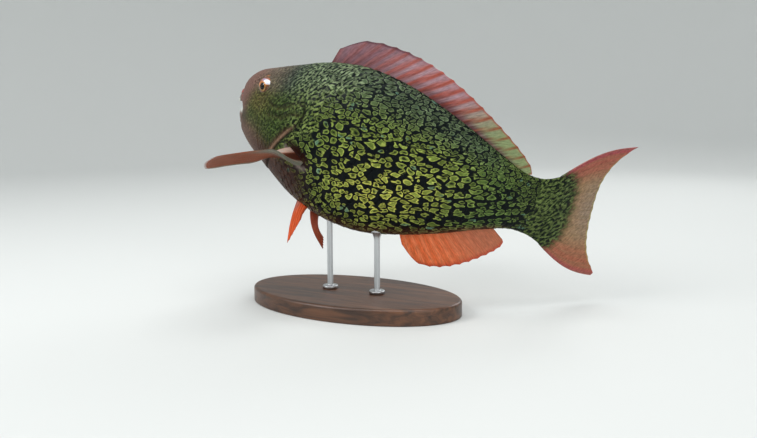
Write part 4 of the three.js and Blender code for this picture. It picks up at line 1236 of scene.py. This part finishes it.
def roundedPlate():  # underside, small rounding, wall, larger rounding and top
    h, r, low = stand["height"], stand["round"], stand["lowRound"]
    turn = np.linspace(0, pi / 2, 9)
    lower = low * np.stack([1 - np.sin(turn), 1 - np.cos(turn)], -1)
    upper = np.stack([r * (1 - np.cos(turn)), h - r + r * np.sin(turn)], -1)
    inward = np.array([[r + 2, h], [r + 8, h], [r + 20, h], [r + 40, h], [60, h]])
    return np.concatenate([[[60, 0], [10, 0]], lower, upper, inward])


def rodProfile(top):  # foot disc with a rounded rim, straight rod, and a neck that flares into the cup
    foot = stand["height"] + stand["gap"]
    rimTop, r, cup = foot + stand["footHeight"], stand["radius"], stand["cup"]
    turn = np.linspace(0, pi / 2, 6)
    rim = np.stack([stand["foot"] - 1 + np.cos(turn), rimTop - 1 + np.sin(turn)], -1)
    flare = np.linspace(0, 1, 10)
    neck = np.stack([r + (cup - r) * flare**2.2, mix(top - 9, top + 1.5, flare)], -1)
    shank = [[r + 1.2, rimTop], [r + 0.3, rimTop + 0.4], [r, rimTop + 1.4]]
    points = [[[0.5, foot], [stand["foot"], foot]], rim, shank, neck, [[cup, top + 4], [0.5, top + 4]]]
    return np.concatenate(points) * [-1, 1]


# Walnut, planed and oiled: dark growth bands along the length, fine pores and a soft sheen. The bands lie
# about 7 mm apart across the board and are drawn out twelve times along it.
def oiledWalnut(add):
    board = add("Mapping", {"Vector": add("TexCoord", out="Object"), "Scale": (0.08, 1.0, 1.0)})
    sway = add("TexNoise", {"Vector": board, "Scale": 30.0, "Detail": 3.0, "Roughness": 0.5})
    growth = add("TexNoise", {"Vector": board, "Scale": 140.0, "Detail": 4.0, "Roughness": 0.6,
                              "Distortion": 0.6})
    pores = add("TexNoise", {"Vector": board, "Scale": 1400.0, "Detail": 2.0})
    tone = add("ValToRGB", [growth], None)
    for element, place, colour in zip(tone.color_ramp.elements, (0.32, 0.68), ("#2b190f", "#6a4329")):
        element.position, element.color = place, rgba(linear(colour))
    shade = add("MapRange", [sway, 0.3, 0.7, 0.8, 1.2])
    return {
        "Base Color": add("VectorMath", {0: tone.outputs["Color"], "Scale": shade}, operation="SCALE"),
        "Roughness": add("MapRange", [pores, 0, 1, 0.32, 0.52]),
        "Normal": add("Bump", {"Strength": 0.2, "Distance": 0.2 * mm, "Height": pores}),
        "Coat Weight": 0.2, "Coat Roughness": 0.3,
    }


# Brushed steel rod: bright metal with fine scratches round the rod, about 0.17 mm apart
def brushedSteel(add):
    lines = add("Mapping", {"Vector": add("TexCoord", out="Object"), "Scale": (0.05, 0.05, 1.0)})
    scratch = add("TexNoise", {"Vector": lines, "Scale": 6000.0, "Detail": 2.0})
    return {
        "Base Color": rgba(linear("#c4c6c8")), "Metallic": 1.0,
        "Roughness": add("MapRange", [scratch, 0, 1, 0.22, 0.42]),
        "Normal": add("Bump", {"Strength": 0.1, "Distance": 0.1 * mm, "Height": scratch}),
    }


base = lathe("stand_base_walnut", roundedPlate(), stand["length"] / 2, stand["width"] / 2)
base.data.materials.append(newMaterial("oiledWalnut", oiledWalnut))
steel = newMaterial("brushedSteel", brushedSteel)
rods = {}
for label, x in zip(("front", "rear"), stand["rods"]):
    noseUp = pose["noseUp"]
    under = pose["height"] - x * np.sin(noseUp) + bodyAt(3, pose["pivot"] + x) * np.cos(noseUp)
    rod = lathe("stand_rod_" + label + "_steel", rodProfile(under), 0, 0, x, 64)
    rod.data.materials.append(steel)
    rods["stand_rod_" + label] = rod
print("stand")

# What each piece replaces, and the body it hangs from

fleshNodes = ["head", "gill_cover_left", "gill_cover_right", "trunk", "tail_stalk"]
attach(skin, "root")
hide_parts(*fleshNodes)
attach(scales, "root")
for node, fin in fins.items():
    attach(fin, "root")
    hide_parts(node)
for node, plate in (("beak_upper", upperBeak), ("beak_lower", lowerBeak)):
    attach(plate, "root")
    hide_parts(node)
for node, (eyeball, cornea) in eyes.items():
    for piece in (eyeball, cornea):
        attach(piece, "root")
    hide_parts(node)
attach(base, "root")
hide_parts("stand_base")
for node, rod in rods.items():
    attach(rod, "root")
    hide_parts(node)

# Studio

studio = {
    "floorRadius": 1.6, "wallRadius": 2.6, "wallHeight": 2.4, "floor": "#d4d6d4", "air": "#eef2f5",
    "airStrength": 0.75,
    "lights": {  # where, what it looks at, size in metres, watts
        "overhead": ((0.1, -0.1, 1.5), (0, 0, 0.15), 1.1, 11),
        "keyLeft": ((-0.9, -1.1, 1.15), (0, 0, 0.16), 0.8, 13),
        "fillRight": ((1.3, -0.9, 0.7), (0, 0, 0.16), 1.0, 5),
        "rimBehind": ((0.3, 1.4, 1.0), (0, 0, 0.18), 0.9, 6),
    },
}
view = {  # behind the fish's left side and a little above it, in metres and degrees
    "place": (0.3677, -0.7130, 0.2175), "down": 9, "turn": 25.5, "near": 0.02,
    "sensor": 36, "plane": 800, "wide": 757,  # mm; pixels to the picture plane and across the picture
}


# Floor that turns up into a round wall through a quarter circle
def buildFloor():
    flat, wall, high = studio["floorRadius"], studio["wallRadius"], studio["wallHeight"]
    turn = np.linspace(0, pi / 2, 20)
    r = np.concatenate([[0.02, flat * 0.5], flat + (wall - flat) * np.sin(turn), [wall]])
    z = np.concatenate([[0, 0], (wall - flat) * (1 - np.cos(turn)), [high]])
    phi = np.linspace(0, 2 * pi, 96, endpoint=False)
    x, y = r[:, None] * np.cos(phi), r[:, None] * np.sin(phi)
    grid = np.stack([x, y, np.broadcast_to(z[:, None], x.shape)], -1)
    quads, _ = gridQuads(*x.shape, wrap=True)
    middle = fanTriangles(x.size, np.arange(len(phi)))
    points = np.concatenate([grid.reshape(-1, 3), [[0, 0, 0]]])
    return newMesh("studio_floor", points, [quads[:, ::-1], middle])


def studioPaper(add):
    return {"Base Color": rgba(linear(studio["floor"])), "Roughness": 0.9}


floor = buildFloor()
floor.data.materials.append(newMaterial("paleStudioPaper", studioPaper))

world = bpy.data.worlds.new("studioAir")
bpy.context.scene.world = world
world.use_nodes = True
background = world.node_tree.nodes["Background"]
background.inputs["Color"].default_value = rgba(linear(studio["air"]))
background.inputs["Strength"].default_value = studio["airStrength"]


def aim(thing, at):  # turns a thing so that its -Z axis points at a place
    thing.rotation_euler = (Vector(at) - thing.location).to_track_quat("-Z", "Y").to_euler()


for name, (where, at, size, power) in studio["lights"].items():
    light = bpy.data.lights.new(name, "AREA")
    light.shape, light.size, light.energy = "DISK", size, power
    lamp = bpy.data.objects.new(name, light)
    bpy.context.scene.collection.objects.link(lamp)
    lamp.location = where
    aim(lamp, at)

camera = bpy.data.objects.new("camera", bpy.data.cameras.new("camera"))
bpy.context.scene.collection.objects.link(camera)
camera.location = view["place"]
camera.rotation_euler = (radians(90 - view["down"]), 0, radians(view["turn"]))
camera.data.sensor_width = view["sensor"]
camera.data.lens = view["sensor"] * view["plane"] / view["wide"]
camera.data.clip_start = view["near"]
bpy.context.scene.camera = camera
bpy.context.scene.view_settings.view_transform = "Standard"
print("studio")
